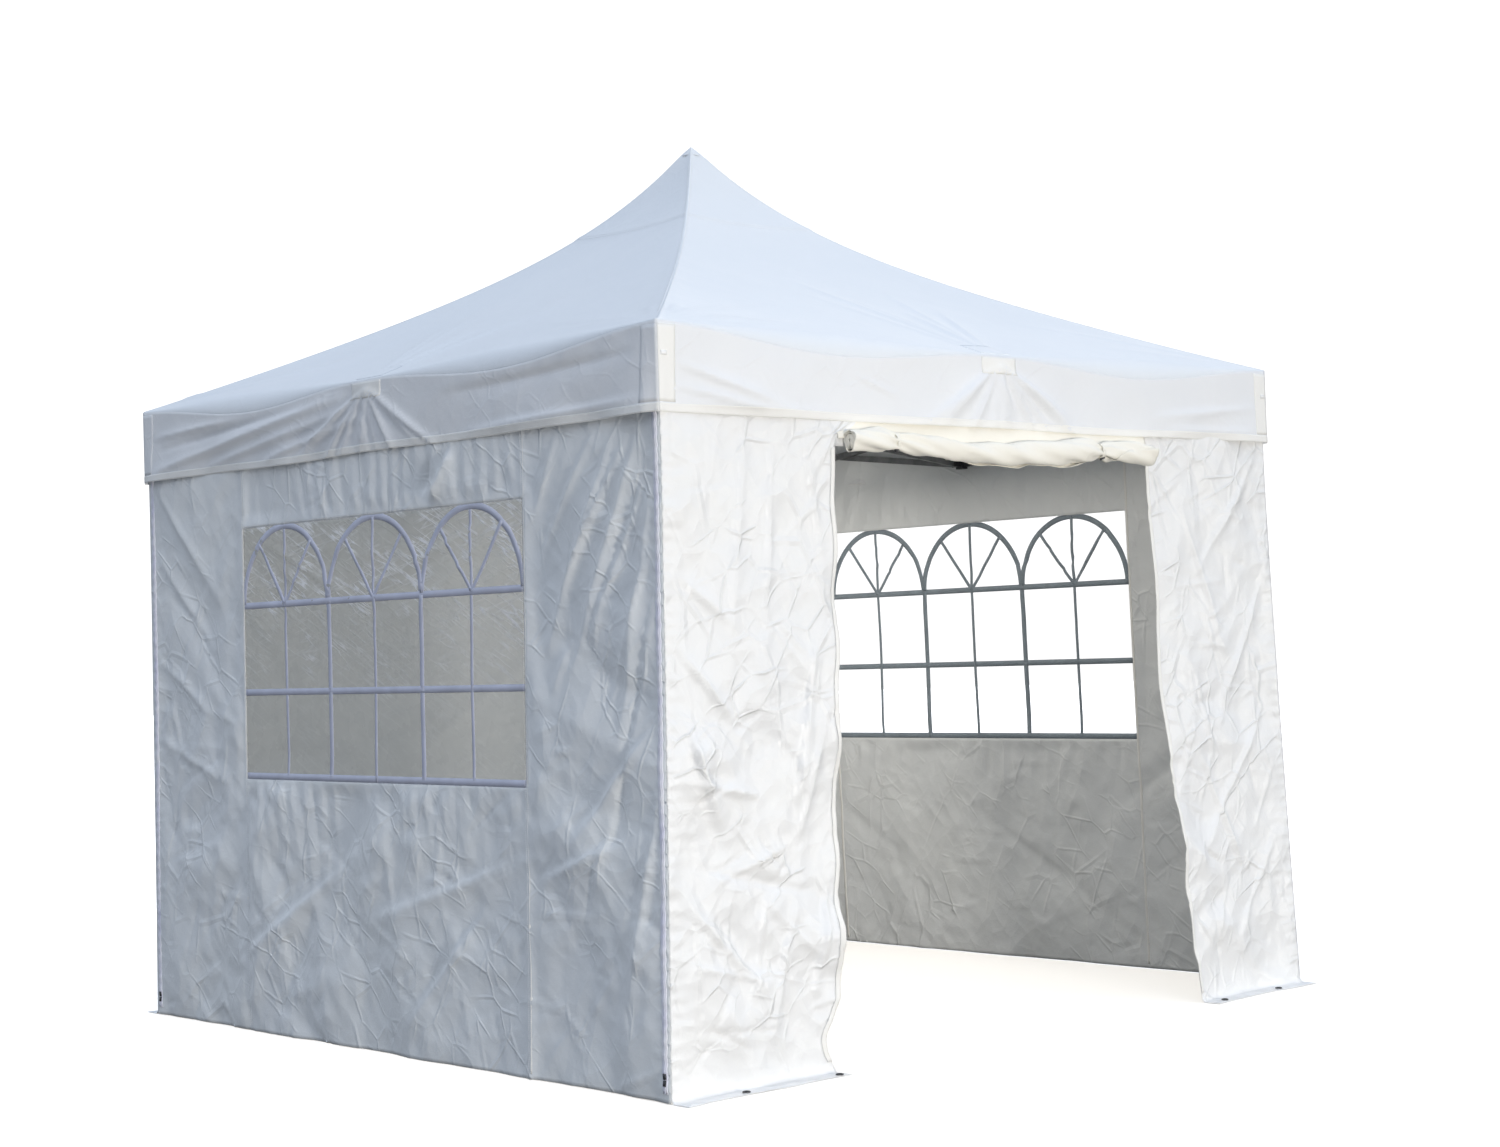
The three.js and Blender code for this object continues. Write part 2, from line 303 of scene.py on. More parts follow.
def cloth(name, colour, shade, roughness, sheen, crease, deep=1.0):
    """Coated polyester: close weave, soft sheen, crumples left by packing and faint mottling."""
    nodes = Nodes(name, colour, roughness, Sheen_Weight=sheen, Sheen_Roughness=0.4,
                  Specular_IOR_Level=0.5)
    nodes.tint(nodes.noise(1.7, 4, 0.6), shade, colour)
    nodes.rough(nodes.noise(5, 3), roughness - 0.08, roughness + 0.06)
    patch = nodes.spread(nodes.noise(2.2, 3), 0.3, 1.0, 0.38, 0.62)
    nodes.bump(
        (nodes.combine(crumpled(nodes, 4.5, -55, 0.8), patch), 0.015 * deep, crease),
        (nodes.combine(crumpled(nodes, 10, 40, 0.8), patch), 0.0045 * deep, crease),
        (sharp_folds(nodes, 4.0, -60, 4), 0.0026 * deep, crease),
        (sharp_folds(nodes, 6.0, 35, 5), 0.0022 * deep, crease),
        (nodes.noise(46, 3, 0.55), 0.0016, 0.5),
        (weave(nodes, 220), 0.0003, 0.3),
    )
    return nodes.material


def glint_streaks(nodes, angle):
    """Thin broken lines that run along the wall at an angle: where the film's painted glints lie."""
    values = {"Rotation": (math.radians(angle), 0, 0), "Scale": (1, 1, 0.09)}
    mapping = nodes.add("ShaderNodeMapping", values, vector_type="TEXTURE")
    nodes.link(nodes.place, mapping.inputs["Vector"])
    node = nodes.add("ShaderNodeTexNoise", {"Scale": 2.6, "Detail": 4})
    nodes.link(mapping.outputs["Vector"], node.inputs["Vector"])
    line = nodes.combine(nodes.combine(node.outputs["Fac"], 0.5, "SUBTRACT"), 0, "ABSOLUTE")
    return nodes.spread(line, 1.0, 0.0, 0.0, 0.035)


def film(name, shade_veil, glint_strength):
    """Clear PVC, thin and glossy. The first number lays an even grey veil of painted shade over the
    pane; the second sets how strongly pale painted glints show along its crinkles.
    """
    nodes = Nodes(name, (0.6, 0.62, 0.64), 0.2)
    height = nodes.add("ShaderNodeSeparateXYZ")
    nodes.link(nodes.place, height.inputs["Vector"])
    high_up = nodes.spread(height.outputs["Z"], 0.10, 1.0, SILL + 0.25, LINTEL - 0.2)
    line = nodes.combine(glint_streaks(nodes, 26), nodes.combine(glint_streaks(nodes, -14), 0.4), "MAXIMUM")
    where = nodes.spread(nodes.noise(6, 3), 0.05, 1.0, 0.42, 0.62)
    # Painted glints: pale, more opaque streaks that stand in for light reflected off the crinkled film,
    # strongest high up.
    glint = nodes.combine(nodes.combine(line, where), nodes.combine(high_up, glint_strength))
    nodes.tint(glint, (0.61, 0.61, 0.575), (0.93, 0.93, 0.93), 0.0, 0.6)
    # Alpha: the even grey veil of painted shade plus the painted glints.
    veil = nodes.combine(nodes.combine(glint, 0.45), shade_veil, "ADD")
    nodes.link(veil, nodes.shader.inputs["Alpha"])
    nodes.rough(nodes.noise(11, 3), 0.2, 0.34)
    nodes.bump((nodes.combine(line, high_up), 0.002, 0.5), (nodes.noise(60, 3), 0.0006, 0.3))
    return nodes.material


def coated_steel():
    """Hammered powder coat on steel tube, lighter and darker in random patches like light rubbing, with
    fine pits.
    """
    nodes = Nodes("frame_steel", (0.17, 0.175, 0.18), 0.38, Metallic=0.55)
    worn = nodes.noise(14, 5, 0.6)
    nodes.tint(worn, (0.13, 0.135, 0.14), (0.24, 0.245, 0.25))
    nodes.rough(nodes.noise(30, 3), 0.3, 0.48)
    pits = nodes.add("ShaderNodeTexVoronoi", {"Scale": 260})
    nodes.link(nodes.place, pits.inputs["Vector"])
    nodes.bump((pits.outputs["Distance"], 0.0004, 0.5))
    return nodes.material


def bright_steel():
    nodes = Nodes("bright_steel", (0.62, 0.62, 0.63), 0.3, Metallic=1.0)
    nodes.tint(nodes.noise(40, 4), (0.5, 0.5, 0.5), (0.68, 0.68, 0.69))
    nodes.rough(nodes.noise(90, 3, 0.5, (1, 1, 8)), 0.22, 0.45)
    nodes.bump((nodes.noise(500, 2), 0.0002, 0.3))
    return nodes.material


def plastic(name, colour, roughness):
    """Moulded nylon with a fine spark-eroded grain."""
    nodes = Nodes(name, colour, roughness)
    lighter = tuple(min(1, channel * 1.18 + 0.004) for channel in colour)
    nodes.tint(nodes.noise(12, 4), colour, lighter)
    nodes.rough(nodes.noise(35, 3), roughness - 0.06, roughness + 0.08)
    nodes.bump((nodes.noise(900, 2), 0.00015, 0.35))
    return nodes.material


MATERIAL = {
    "canopy": cloth("canopy_cloth", (0.80, 0.83, 0.865), (0.775, 0.81, 0.85), 0.5, 0.3, 0.18),
    "skirt": cloth("skirt_cloth", (0.84, 0.85, 0.87), (0.81, 0.825, 0.85), 0.46, 0.3, 0.36),
    "wall": cloth("wall_cloth", (0.84, 0.86, 0.865), (0.80, 0.825, 0.845), 0.38, 0.3, 0.9),
    "panel": cloth("panel_cloth", (0.88, 0.88, 0.875), (0.85, 0.855, 0.86), 0.36, 0.3, 1.0, 1.5),
    "door": cloth("door_cloth", (0.93, 0.90, 0.82), (0.90, 0.87, 0.78), 0.5, 0.2, 0.4),
    "trim": cloth("trim_cloth", (0.90, 0.895, 0.87), (0.88, 0.87, 0.84), 0.55, 0.1, 0.1),
    "thread": plastic("thread", (0.80, 0.80, 0.80), 0.6),
    # Same PVC on both windows: the left film gets a grey veil of painted shade and strong painted
    # glints, the right film stays clear.
    "film_left": film("window_film_left", 0.50, 1.0),
    "film_right": film("window_film_right", 0.05, 0.05),
    # Same print on both windows: lighter lavender on the left as a painted reflection, dark slate on the
    # right as painted shade of the backlit print.
    "print_left": plastic("window_print_left", (0.50, 0.52, 0.63), 0.5),
    "print_right": plastic("window_print_right", (0.23, 0.28, 0.33), 0.5),
    "zip": plastic("zip_plastic", (0.82, 0.82, 0.95), 0.45),
    "steel": coated_steel(),
    "bright": bright_steel(),
    "plastic": plastic("frame_plastic", (0.035, 0.036, 0.04), 0.5),
}


# ---------------------------------------------------------------- mesh helpers
def new_piece(name, vertices, faces, material, rounded=None):
    """A mesh object. The first rounded faces are shaded smooth, or all of them if it is None."""
    mesh = bpy.data.meshes.new(name)
    mesh.from_pydata([tuple(v) for v in vertices], [], faces)
    mesh.materials.append(MATERIAL[material])
    count = len(mesh.polygons)
    mesh.polygons.foreach_set("use_smooth", np.arange(count) < (count if rounded is None else rounded))
    piece = bpy.data.objects.new(name, mesh)
    bpy.context.scene.collection.objects.link(piece)
    return piece


def turned(points, quarter):
    """Points of the front side's frame, turned to another side."""
    angle = quarter * math.pi / 2
    c, s = round(math.cos(angle)), round(math.sin(angle))
    x, y = points[..., 0].copy(), points[..., 1].copy()
    points = points.copy()
    points[..., 0] = c * x - s * y
    points[..., 1] = s * x + c * y
    return points


def grid_normals(points):
    across = np.gradient(points, axis=1)
    up = np.gradient(points, axis=0)
    normal = np.cross(across, up)
    return normal / np.maximum(np.linalg.norm(normal, axis=-1, keepdims=True), 1e-12)


def thick_sheet(name, points, material, keep=None, thickness=CLOTH):
    """A closed sheet. points[row, column] is its outer face; keep says which cells are cloth."""
    rows, columns = points.shape[:2]
    if keep is None:
        keep = np.ones((rows - 1, columns - 1), bool)
    inner = points - grid_normals(points) * thickness
    index = np.arange(rows * columns).reshape(rows, columns)
    cell = np.stack((index[:-1, :-1], index[:-1, 1:], index[1:, 1:], index[1:, :-1]), -1)[keep]
    back = cell[:, ::-1] + rows * columns
    edge = np.concatenate([cell[:, [n, (n + 1) % 4]] for n in range(4)])
    key = np.sort(edge, 1)
    _, first, count = np.unique(key, axis=0, return_index=True, return_counts=True)
    border = edge[first[count == 1]]
    shift = rows * columns
    rim = np.stack((border[:, 1], border[:, 0], border[:, 0] + shift, border[:, 1] + shift), -1)
    faces = np.concatenate((cell, back, rim))
    vertices = np.concatenate((points.reshape(-1, 3), inner.reshape(-1, 3)))
    used, faces = np.unique(faces, return_inverse=True)
    return new_piece(name, vertices[used], faces.reshape(-1, 4).tolist(), material, 2 * len(cell))


def ring_faces(rings, sides, first=0):
    """Faces between rings of vertices that follow each other, and the two flat ends."""
    last = first + (rings - 1) * sides
    faces = [
        (low + n, low + (n + 1) % sides, low + sides + (n + 1) % sides, low + sides + n)
        for low in range(first, last, sides)
        for n in range(sides)
    ]
    faces.append(tuple(first + n for n in reversed(range(sides))))
    faces.append(tuple(last + n for n in range(sides)))
    return faces


def tube(name, path, radius, material):
    """A closed round tube along a path, with flat ends."""
    sides = 10
    path = np.asarray(path, float)
    ahead = np.gradient(path, axis=0)
    ahead /= np.linalg.norm(ahead, axis=1, keepdims=True)
    guide = np.array((0, 0, 1.0)) if abs(ahead[:, 2]).mean() < 0.7 else np.array((0, 1.0, 0))
    one = np.cross(ahead, guide)
    one /= np.linalg.norm(one, axis=1, keepdims=True)
    two = np.cross(one, ahead)
    turn = 2 * np.pi * np.arange(sides) / sides
    ring = one[:, None] * np.cos(turn)[None, :, None] + two[:, None] * np.sin(turn)[None, :, None]
    vertices = (path[:, None] + ring * radius).reshape(-1, 3)
    return new_piece(name, vertices, ring_faces(len(path), sides), material)


# ---------------------------------------------------------------- relief of cloth
def smooth(value):
    value = np.clip(value, 0, 1)
    return value * value * (3 - 2 * value)


def ease(value, start, end):
    """0 up to start, 1 from end on, and smooth between them."""
    return smooth((value - start) / (end - start))


TABLE = 96  # random heights along each side of a table
CENTRE = 40  # the cell of the table that holds the origin


def cell_corners(table, i, j):
    """A table's values at the four corners of each cell, the low pair first."""
    return [table[(i + a) % TABLE, (j + b) % TABLE] for b in (0, 1) for a in (0, 1)]


def swell(x, z, cell, seed):
    """Smooth noise from -1 to 1 with features of the size of cell."""
    table = np.random.default_rng(seed).random((TABLE, TABLE))
    u, v = x / cell + CENTRE, z / cell + CENTRE
    i, j = np.floor(u).astype(int), np.floor(v).astype(int)
    fu, fv = smooth(u - i), smooth(v - j)
    a, b, c, d = cell_corners(table, i, j)
    low = a * (1 - fu) + b * fu
    high = c * (1 - fu) + d * fu
    return 2 * (low * (1 - fv) + high * fv) - 1


def facets(x, z, cell, seed, lean, stretch=1.0):
    """Crumpled cloth from -1 to 1: flat triangles of random tilt that meet in sharp folds."""
    rng = np.random.default_rng(seed)
    height = rng.random((TABLE, TABLE)) * 2 - 1
    flip = rng.random((TABLE, TABLE)) < 0.5
    u = (x * math.cos(lean) + z * math.sin(lean)) / cell
    v = (z * math.cos(lean) - x * math.sin(lean)) / (cell * stretch)
    u = u + 0.55 * swell(x, z, cell * 1.7, seed + 1) + CENTRE
    v = v + 0.55 * swell(x, z, cell * 1.7, seed + 2) + CENTRE
    i, j = np.floor(u).astype(int), np.floor(v).astype(int)
    fu, fv = u - i, v - j
    a, b, c, d = cell_corners(height, i, j)
    rising = np.where(fu > fv, a + (b - a) * fu + (d - b) * fv, a + (d - c) * fu + (c - a) * fv)
    falling = np.where(
        fu + fv < 1, a + (b - a) * fu + (c - a) * fv, d + (c - d) * (1 - fu) + (b - d) * (1 - fv)
    )
    return np.where(flip[i % TABLE, j % TABLE], rising, falling)


LOPSIDED = 0.4  # how much wider one flank of a fold is than the other


def ridge(x, z, start, end, width, height):
    """One fold from start to end, tapered at both, steeper on one flank."""
    dx, dz = end[0] - start[0], end[1] - start[1]
    length = math.hypot(dx, dz)
    along = ((x - start[0]) * dx + (z - start[1]) * dz) / length ** 2
    across = ((z - start[1]) * dx - (x - start[0]) * dz) / length
    inside = np.clip(along, 0, 1)
    taper = np.sin(np.pi * inside) ** 0.8
    spread = width * (0.5 + 0.7 * inside)
    lean = np.where(across > 0, 1 + LOPSIDED, 1 - LOPSIDED)
    return height * taper * np.exp(-np.abs(across / (spread * lean)) ** 1.4)


def ridges(x, z, folds):
    """folds are (x0, z0, x1, z1, width, height)."""
    return sum(ridge(x, z, (f[0], f[1]), (f[2], f[3]), f[4], f[5]) for f in folds)


def fan(x, z, origin, angles, lengths, width, height, seed):
    """Folds that spread from one point. Angles are in degrees from +x, up."""
    rng = np.random.default_rng(seed)
    total = np.zeros_like(x)
    for angle, length in zip(angles, lengths):
        way = math.radians(angle)
        bend = rng.uniform(-0.08, 0.08)
        end = (origin[0] + length * math.cos(way + bend), origin[1] + length * math.sin(way + bend))
        total += ridge(x, z, origin, end, width * rng.uniform(0.7, 1.3), height * rng.uniform(0.6, 1.2))
    return total


CREASE_REACH = (0.05, 0.2)  # half of a crease's length
CREASE_HEIGHT = 0.004
CREASE_WIDTH = 0.008


def creases(x, z, box, count, seed):
    """Short sharp folds scattered over a box (x0, x1, z0, z1)."""
    rng = np.random.default_rng(seed)
    total = np.zeros_like(x)
    for _ in range(count):
        cx, cz = rng.uniform(box[0], box[1]), rng.uniform(box[2], box[3])
        half = rng.uniform(*CREASE_REACH)
        way = rng.uniform(0, math.pi)
        dx, dz = math.cos(way) * half, math.sin(way) * half
        size = CREASE_HEIGHT * rng.uniform(0.4, 1.0) * rng.choice((-1, 1))
        near = (abs(x - cx) < half + 0.06) & (abs(z - cz) < half + 0.06)
        if near.any():
            total[near] += ridge(
                x[near], z[near], (cx - dx, cz - dz), (cx + dx, cz + dz), CREASE_WIDTH, size
            )
    return total


def close_up(piece, body):
    """The piece rides on body as the frame folds, with a mesh of its own."""
    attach(piece, body)
    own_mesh(piece)


def ride_wall(piece, side):
    close_up(piece, f"upper_connector_{side}")


# ---------------------------------------------------------------- walls
# How far each wall's foot stands out at its two ends, the left one first, seen from outside.
FOOT_OUT = {
    "front": (0.012, 0.040),
    "right": (0.045, 0.020),
    "back": (0.020, 0.020),
    "left": (0.010, 0.050),
}


def lean(z):
    """Share of the foot's outward reach that a wall has at a height."""
    return np.clip(1 - z / 1.9, 0, 1) ** 1.2


# Folds of each wall as it hangs: x0, z0, x1, z1, width, height.
FOLDS = {
    "left": (
        (1.27, 1.98, 0.92, 1.30, 0.022, 0.012),
        (1.38, 1.97, 1.04, 1.22, 0.020, 0.012),
        (1.45, 1.90, 1.27, 1.02, 0.018, 0.011),
        (1.00, 1.99, 0.88, 1.74, 0.010, 0.007),
        (1.18, 1.99, 0.90, 1.60, 0.010, 0.008),
        (1.33, 1.96, 0.97, 1.44, 0.010, 0.008),
        (1.43, 1.86, 1.12, 1.30, 0.010, 0.008),
        (1.45, 1.68, 1.20, 1.08, 0.010, 0.008),
        (1.46, 1.52, 1.28, 0.88, 0.012, 0.009),
        (1.42, 1.40, 1.20, 0.62, 0.022, -0.010),
        (1.44, 1.10, 1.05, 0.72, 0.020, 0.010),
        (1.46, 0.95, 1.30, 0.25, 0.020, 0.012),
        (1.30, 0.75, 0.85, 0.60, 0.018, 0.008),
        (-1.44, 2.00, -0.98, 1.52, 0.024, 0.010),
        (-1.46, 1.75, -1.02, 1.34, 0.020, 0.008),
        (-1.47, 1.35, -1.05, 1.12, 0.018, 0.008),
        (-1.47, 1.05, -0.90, 0.86, 0.018, 0.007),
        (0.46, 1.98, 0.33, 1.80, 0.028, 0.020),
        (0.34, 1.98, 0.26, 1.82, 0.016, -0.010),
        (0.90, 0.70, -0.10, 0.42, 0.030, 0.010),
        (-0.20, 0.62, -0.95, 0.20, 0.030, 0.010),
        (0.60, 0.52, 0.15, 0.08, 0.024, 0.009),
    ),
    "right": (
        (1.40, 1.95, 0.95, 1.25, 0.024, 0.010),
        (-1.42, 1.95, -1.00, 1.20, 0.024, 0.010),
        (-1.45, 1.10, -0.60, 0.55, 0.034, 0.006),
        (1.30, 0.90, 0.40, 0.35, 0.034, 0.006),
        (0.20, 0.70, -0.70, 0.18, 0.034, 0.005),
    ),
    "front": (
        (-1.16, 2.02, -1.24, 1.30, 0.020, 0.010),
        (-1.04, 2.02, -1.12, 1.18, 0.016, 0.009),
        (-0.92, 2.02, -0.84, 1.50, 0.018, 0.008),
        (-1.47, 1.55, -1.20, 1.36, 0.016, 0.009),
        (-1.47, 1.34, -1.22, 1.08, 0.020, 0.014),
        (-1.46, 1.16, -1.26, 0.72, 0.022, 0.016),
        (-1.42, 0.92, -1.02, 0.84, 0.016, 0.011),
        (-0.90, 1.36, -0.98, 0.80, 0.018, 0.013),
        (-0.86, 1.10, -1.00, 0.66, 0.014, 0.010),
        (-1.36, 0.66, -0.95, 0.56, 0.018, -0.012),
        (-1.30, 0.62, -0.98, 0.72, 0.012, 0.010),
        (-1.46, 0.60, -1.10, 0.24, 0.022, 0.012),
        (-1.00, 0.55, -1.14, 0.10, 0.020, 0.011),
        (-0.86, 0.62, -0.95, 0.20, 0.020, 0.012),
        (1.44, 1.98, 1.02, 1.50, 0.018, 0.008),
        (1.46, 1.55, 1.10, 0.95, 0.018, 0.010),
        (0.95, 1.80, 1.20, 1.20, 0.018, 0.009),
        (1.40, 1.05, 1.02, 0.55, 0.018, 0.011),
        (1.00, 0.90, 1.30, 0.30, 0.020, 0.012),
        (1.44, 0.60, 1.16, 0.18, 0.020, 0.011),
    ),
    "back": (
        (-1.42, 2.00, -0.90, 1.20, 0.024, 0.012),
        (1.42, 2.00, 0.85, 1.15, 0.024, 0.012),
        (0.10, 2.00, 0.02, 1.10, 0.024, 0.009),
        (-0.50, 1.40, 0.30, 0.90, 0.024, 0.010),
        (1.30, 0.95, 0.55, 0.35, 0.026, 0.011),
        (-1.30, 0.90, -0.50, 0.30, 0.026, 0.011),
    ),
}
CRUMPLED = {"left": 1.8, "right": 1.3, "front": 3.0, "back": 1.7}
SEED = {"front": 100, "right": 300, "back": 500, "left": 700}


def crumple(x, z, seed):
    """What packing leaves in a wall: wide facets, smaller ones, and short sharp folds."""
    patch = 0.65 + 0.45 * swell(x, z, 0.45, seed + 5)
    relief = 0.0090 * facets(x, z, 0.26, seed + 10, 0.5, 1.35)
    relief += 0.0058 * facets(x, z, 0.13, seed + 20, -0.35, 1.2) * patch
    relief += 0.0026 * facets(x, z, 0.062, seed + 30, 0.9) * patch
    relief += creases(x, z, (-1.5, 1.5, 0.02, 1.9), 170, seed + 40)
    return relief


def puckers(x, z, seed):
    """Small crosswise gathers beside the corner zips."""
    away = WALL - abs(x)
    wave = np.sin(2 * math.pi * z / 0.042 + 2.5 * swell(z, x * 0, 0.13, seed))
    return 0.0030 * wave * np.exp(-away / 0.035) * ease(away, 0, 0.012)


def around_window(x, z):
    """1 on the cloth, 0 at the window."""
    outside = np.maximum.reduce((abs(x) - WINDOW_HALF, SILL - z, z - LINTEL))
    return ease(outside, 0, 0.06)


def gathers(x, z, seed):
    """Upright gathers under the sill and over the window."""
    phase = 2 * math.pi * (x + 0.12 * z) / 0.085 + 4.2 * swell(x, z * 0.3, 0.25, seed)
    amount = 0.5 + 0.5 * swell(x, z * 0.5, 0.3, seed + 1)
    below = np.exp(-np.clip(SILL - z, 0, None) / 0.16) * (z < SILL)
    above = 0.8 * np.exp(-np.clip(z - LINTEL, 0, None) / 0.2) * (z > LINTEL)
    tucks = np.sin(phase) + 0.4 * np.sin(2.3 * phase + 1)
    return 0.0070 * amount * tucks * (below + above) * ease(WINDOW_HALF - abs(x), -0.05, 0.1)


def wall_relief(x, z, side, seed):
    """How far the wall cloth stands out from its flared place."""
    windowed = side in ("left", "right")
    lower = 0.42 + 0.58 * (1 - ease(z, 0.9, 1.75))
    relief = 0.007 * swell(x, z, 0.7, seed)
    relief += CRUMPLED[side] * crumple(x, z, seed) * lower
    relief += 1.35 * ridges(x, z, FOLDS[side])
    if windowed:
        seam = abs(abs(x) - WINDOW_HALF)
        relief += gathers(x, z, seed + 60)
        relief *= around_window(x, z) * (1 - 0.6 * np.exp(-(seam / 0.02) ** 2))
        relief += 0.0016 * (seam < 0.008)
    relief *= ease(WALL - abs(x), 0, 0.11)
    relief += puckers(x, z, seed + 70)
    relief += 0.010 * np.exp(-z / 0.10) * swell(x, z * 0, 0.2, seed + 80) * ease(WALL - abs(x), 0, 0.1)
    return np.maximum(relief, -0.014) * (1 - 0.9 * ease(z, 1.98, 2.1))


def wall_place(x, z, side, relief):
    """Points of a wall's outer face. x runs along the side, from its left as seen from outside."""
    number = SIDES.index(side)
    before, after = FOOT_OUT[SIDES[number - 1]][1], FOOT_OUT[SIDES[(number + 1) % 4]][0]
    share = (x / WALL + 1) / 2
    foot = FOOT_OUT[side][0] * (1 - share) + FOOT_OUT[side][1] * share
    along = x + np.where(x < 0, -before, after) * lean(z) * (abs(x) / WALL) ** 4
    points = np.stack(np.broadcast_arrays(along, -(WALL + foot * lean(z) + relief), z), -1)
    return turned(points, number)


def wall_surface(x, z, side, lift=0.0):
    return wall_place(x, z, side, wall_relief(x, z, side, SEED[side]) + lift)


def levels(step, low, high, *lines):
    """Even values from low to high, with the nearest ones moved onto the given lines."""
    values = np.linspace(low, high, max(2, round((high - low) / step)) + 1)
    for line in lines:
        values[np.argmin(abs(values - line))] = line
    return values


def window_wall(side):
    xs = levels(STEP, -WALL + 0.002, WALL - 0.002, -WINDOW_HALF, WINDOW_HALF)
    zs = levels(STEP, WALL_HEM, WALL_TOP, SILL, LINTEL)
    x, z = np.meshgrid(xs, zs)
    mid_x, mid_z = (x[:-1, :-1] + x[1:, 1:]) / 2, (z[:-1, :-1] + z[1:, 1:]) / 2
    keep = (abs(mid_x) > WINDOW_HALF) | (mid_z < SILL) | (mid_z > LINTEL)
    piece = thick_sheet(f"wall_cloth_{side}", wall_surface(x, z, side), "wall", keep)
    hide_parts(f"wall_{side}")
    ride_wall(piece, side)


def with_flap(points, x, side):
    """Adds the ground flap below the wall's first row: rows that lie on the ground, outward."""
    outward = turned(np.array((0.0, -1.0, 0.0)), SIDES.index(side))
    foot = points[0]
    rows = []
    for share in np.linspace(1, 0.12, 10):
        row = foot + outward * (FLAP - 0.006) * share
        row[:, 2] = 0.0022 + 0.004 * (1 + swell(x[0], x[0] * 0 + share, 0.11, 7)) * share * (1.2 - share)
        rows.append(row)
    return np.concatenate((np.array(rows), points))


def back_wall():
    x, z = np.meshgrid(levels(STEP, -WALL, WALL), levels(STEP, 0.014, WALL_TOP))
    points = with_flap(wall_surface(x, z, "back"), x, "back")
    piece = thick_sheet("wall_cloth_back", points, "wall")
    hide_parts("wall_back")
    ride_wall(piece, "back")


def door_edge(z, way):
    """Half width of the doorway at a height; way is -1 on the left and 1 on the right."""
    low = 1 - np.clip(z / DOOR_TOP, 0, 1)
    edge = DOOR_HALF_TOP + (DOOR_HALF_LOW - DOOR_HALF_TOP) * low ** 1.2
    if way < 0:
        edge = edge - 0.045 * low + 0.055 * np.exp(-((z - 0.10) / 0.09) ** 2)
    sway = (0.0055 - 0.002 * way) * np.sin(z * 8.5 + 1.4 * way) + 0.003 * np.sin(z * 19 + way)
    return edge + sway * ease(DOOR_TOP - z, 0, 0.3)


def front_wall():
    """The doorway wall: two crumpled side panels and the strip behind the skirt."""
    step = STEP * 0.76
    zs = levels(step, 0.014, WALL_TOP, DOOR_TOP)
    side_columns = round((WALL - DOOR_HALF_TOP) / step)
    middle_columns = round(2 * DOOR_HALF_TOP / (2 * step))
    share = np.linspace(0, 1, side_columns + 1)
    middle = np.linspace(-1, 1, middle_columns + 1)[1:-1]
    left, right = door_edge(zs, -1)[:, None], door_edge(zs, 1)[:, None]
    x = np.concatenate((
        -WALL + (WALL - left) * share,
        (right + left) / 2 * middle + (right - left) / 2,
        right + (WALL - right) * share,
    ), axis=1)
    z = np.repeat(zs[:, None], x.shape[1], axis=1)
    points = with_flap(door_surface(x, z), x, "front")
    flap_rows = len(points) - len(zs)
    keep = np.ones((len(points) - 1, x.shape[1] - 1), bool)
    open_rows = flap_rows + np.count_nonzero(zs < DOOR_TOP - 1e-6)
    keep[:open_rows, side_columns:side_columns + middle_columns] = False
    piece = thick_sheet("wall_cloth_front", points, "panel", keep)
    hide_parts("wall_front")
    ride_wall(piece, "front")


def door_surface(x, z, lift=0.0):
    """The front wall's face, with its free edges curling a little."""
    edge = np.where(x < 0, door_edge(z, -1), door_edge(z, 1))
    free = np.exp(-np.clip(abs(x) - edge, 0, None) / 0.07) * ease(DOOR_TOP - z, 0, 0.3)
    reach = np.where(x < 0, 0.013, 0.006)
    curl = reach * np.sin(z * 8.5 + 1.2 * np.sign(x)) + 0.4 * reach * np.sin(z * 21 + np.sign(x))
    return wall_place(x, z, "front", wall_relief(x, z, "front", SEED["front"]) + free * curl + lift)


window_wall("left")
window_wall("right")
back_wall()
front_wall()


# ---------------------------------------------------------------- stitches, zips and eyelets
def beads(name, lines, pitch, size, material):
    """Small closed blocks along lines of (points, normals); size is (length, width, height)."""
    corners = np.array([(a, b, c) for c in (0, 1) for a, b in ((-1, -1), (1, -1), (1, 1), (-1, 1))])
    blocks = []
    for points, normals in lines:
        step = np.linalg.norm(np.diff(points, axis=0), axis=1)
        reach = np.concatenate(([0], np.cumsum(step)))
        at = np.arange(pitch / 2, reach[-1], pitch)
        centre = np.stack([np.interp(at, reach, points[:, k]) for k in range(3)], -1)
        after = np.stack([np.interp(at + 0.001, reach, points[:, k]) for k in range(3)], -1)
        before = np.stack([np.interp(at - 0.001, reach, points[:, k]) for k in range(3)], -1)
        ahead = after - before
        ahead /= np.linalg.norm(ahead, axis=1, keepdims=True)
        up = np.stack([np.interp(at, reach, normals[:, k]) for k in range(3)], -1)
        up /= np.linalg.norm(up, axis=1, keepdims=True)
        side = np.cross(up, ahead)
        blocks.append(
            centre[:, None]
            + ahead[:, None] * corners[None, :, :1] * size[0] / 2
            + side[:, None] * corners[None, :, 1:2] * size[1] / 2
            + up[:, None] * (corners[None, :, 2:] * 1.0 - 0.3) * size[2]
        )
    blocks = np.concatenate(blocks)
    one = np.array(((3, 2, 1, 0), (4, 5, 6, 7), (0, 1, 5, 4), (1, 2, 6, 5), (2, 3, 7, 6), (3, 0, 4, 7)))
    faces = (one[None] + 8 * np.arange(len(blocks))[:, None, None]).reshape(-1, 4)
    return new_piece(name, blocks.reshape(-1, 3), faces.tolist(), material)


STITCH = (0.0042, 0.0010, 0.0006)
TOOTH = (0.0013, 0.0062, 0.0016)
STITCH_PITCH = 0.0065
TOOTH_PITCH = 0.0026


def stitches(name, lines):
    return beads(name, lines, STITCH_PITCH, STITCH, "thread")


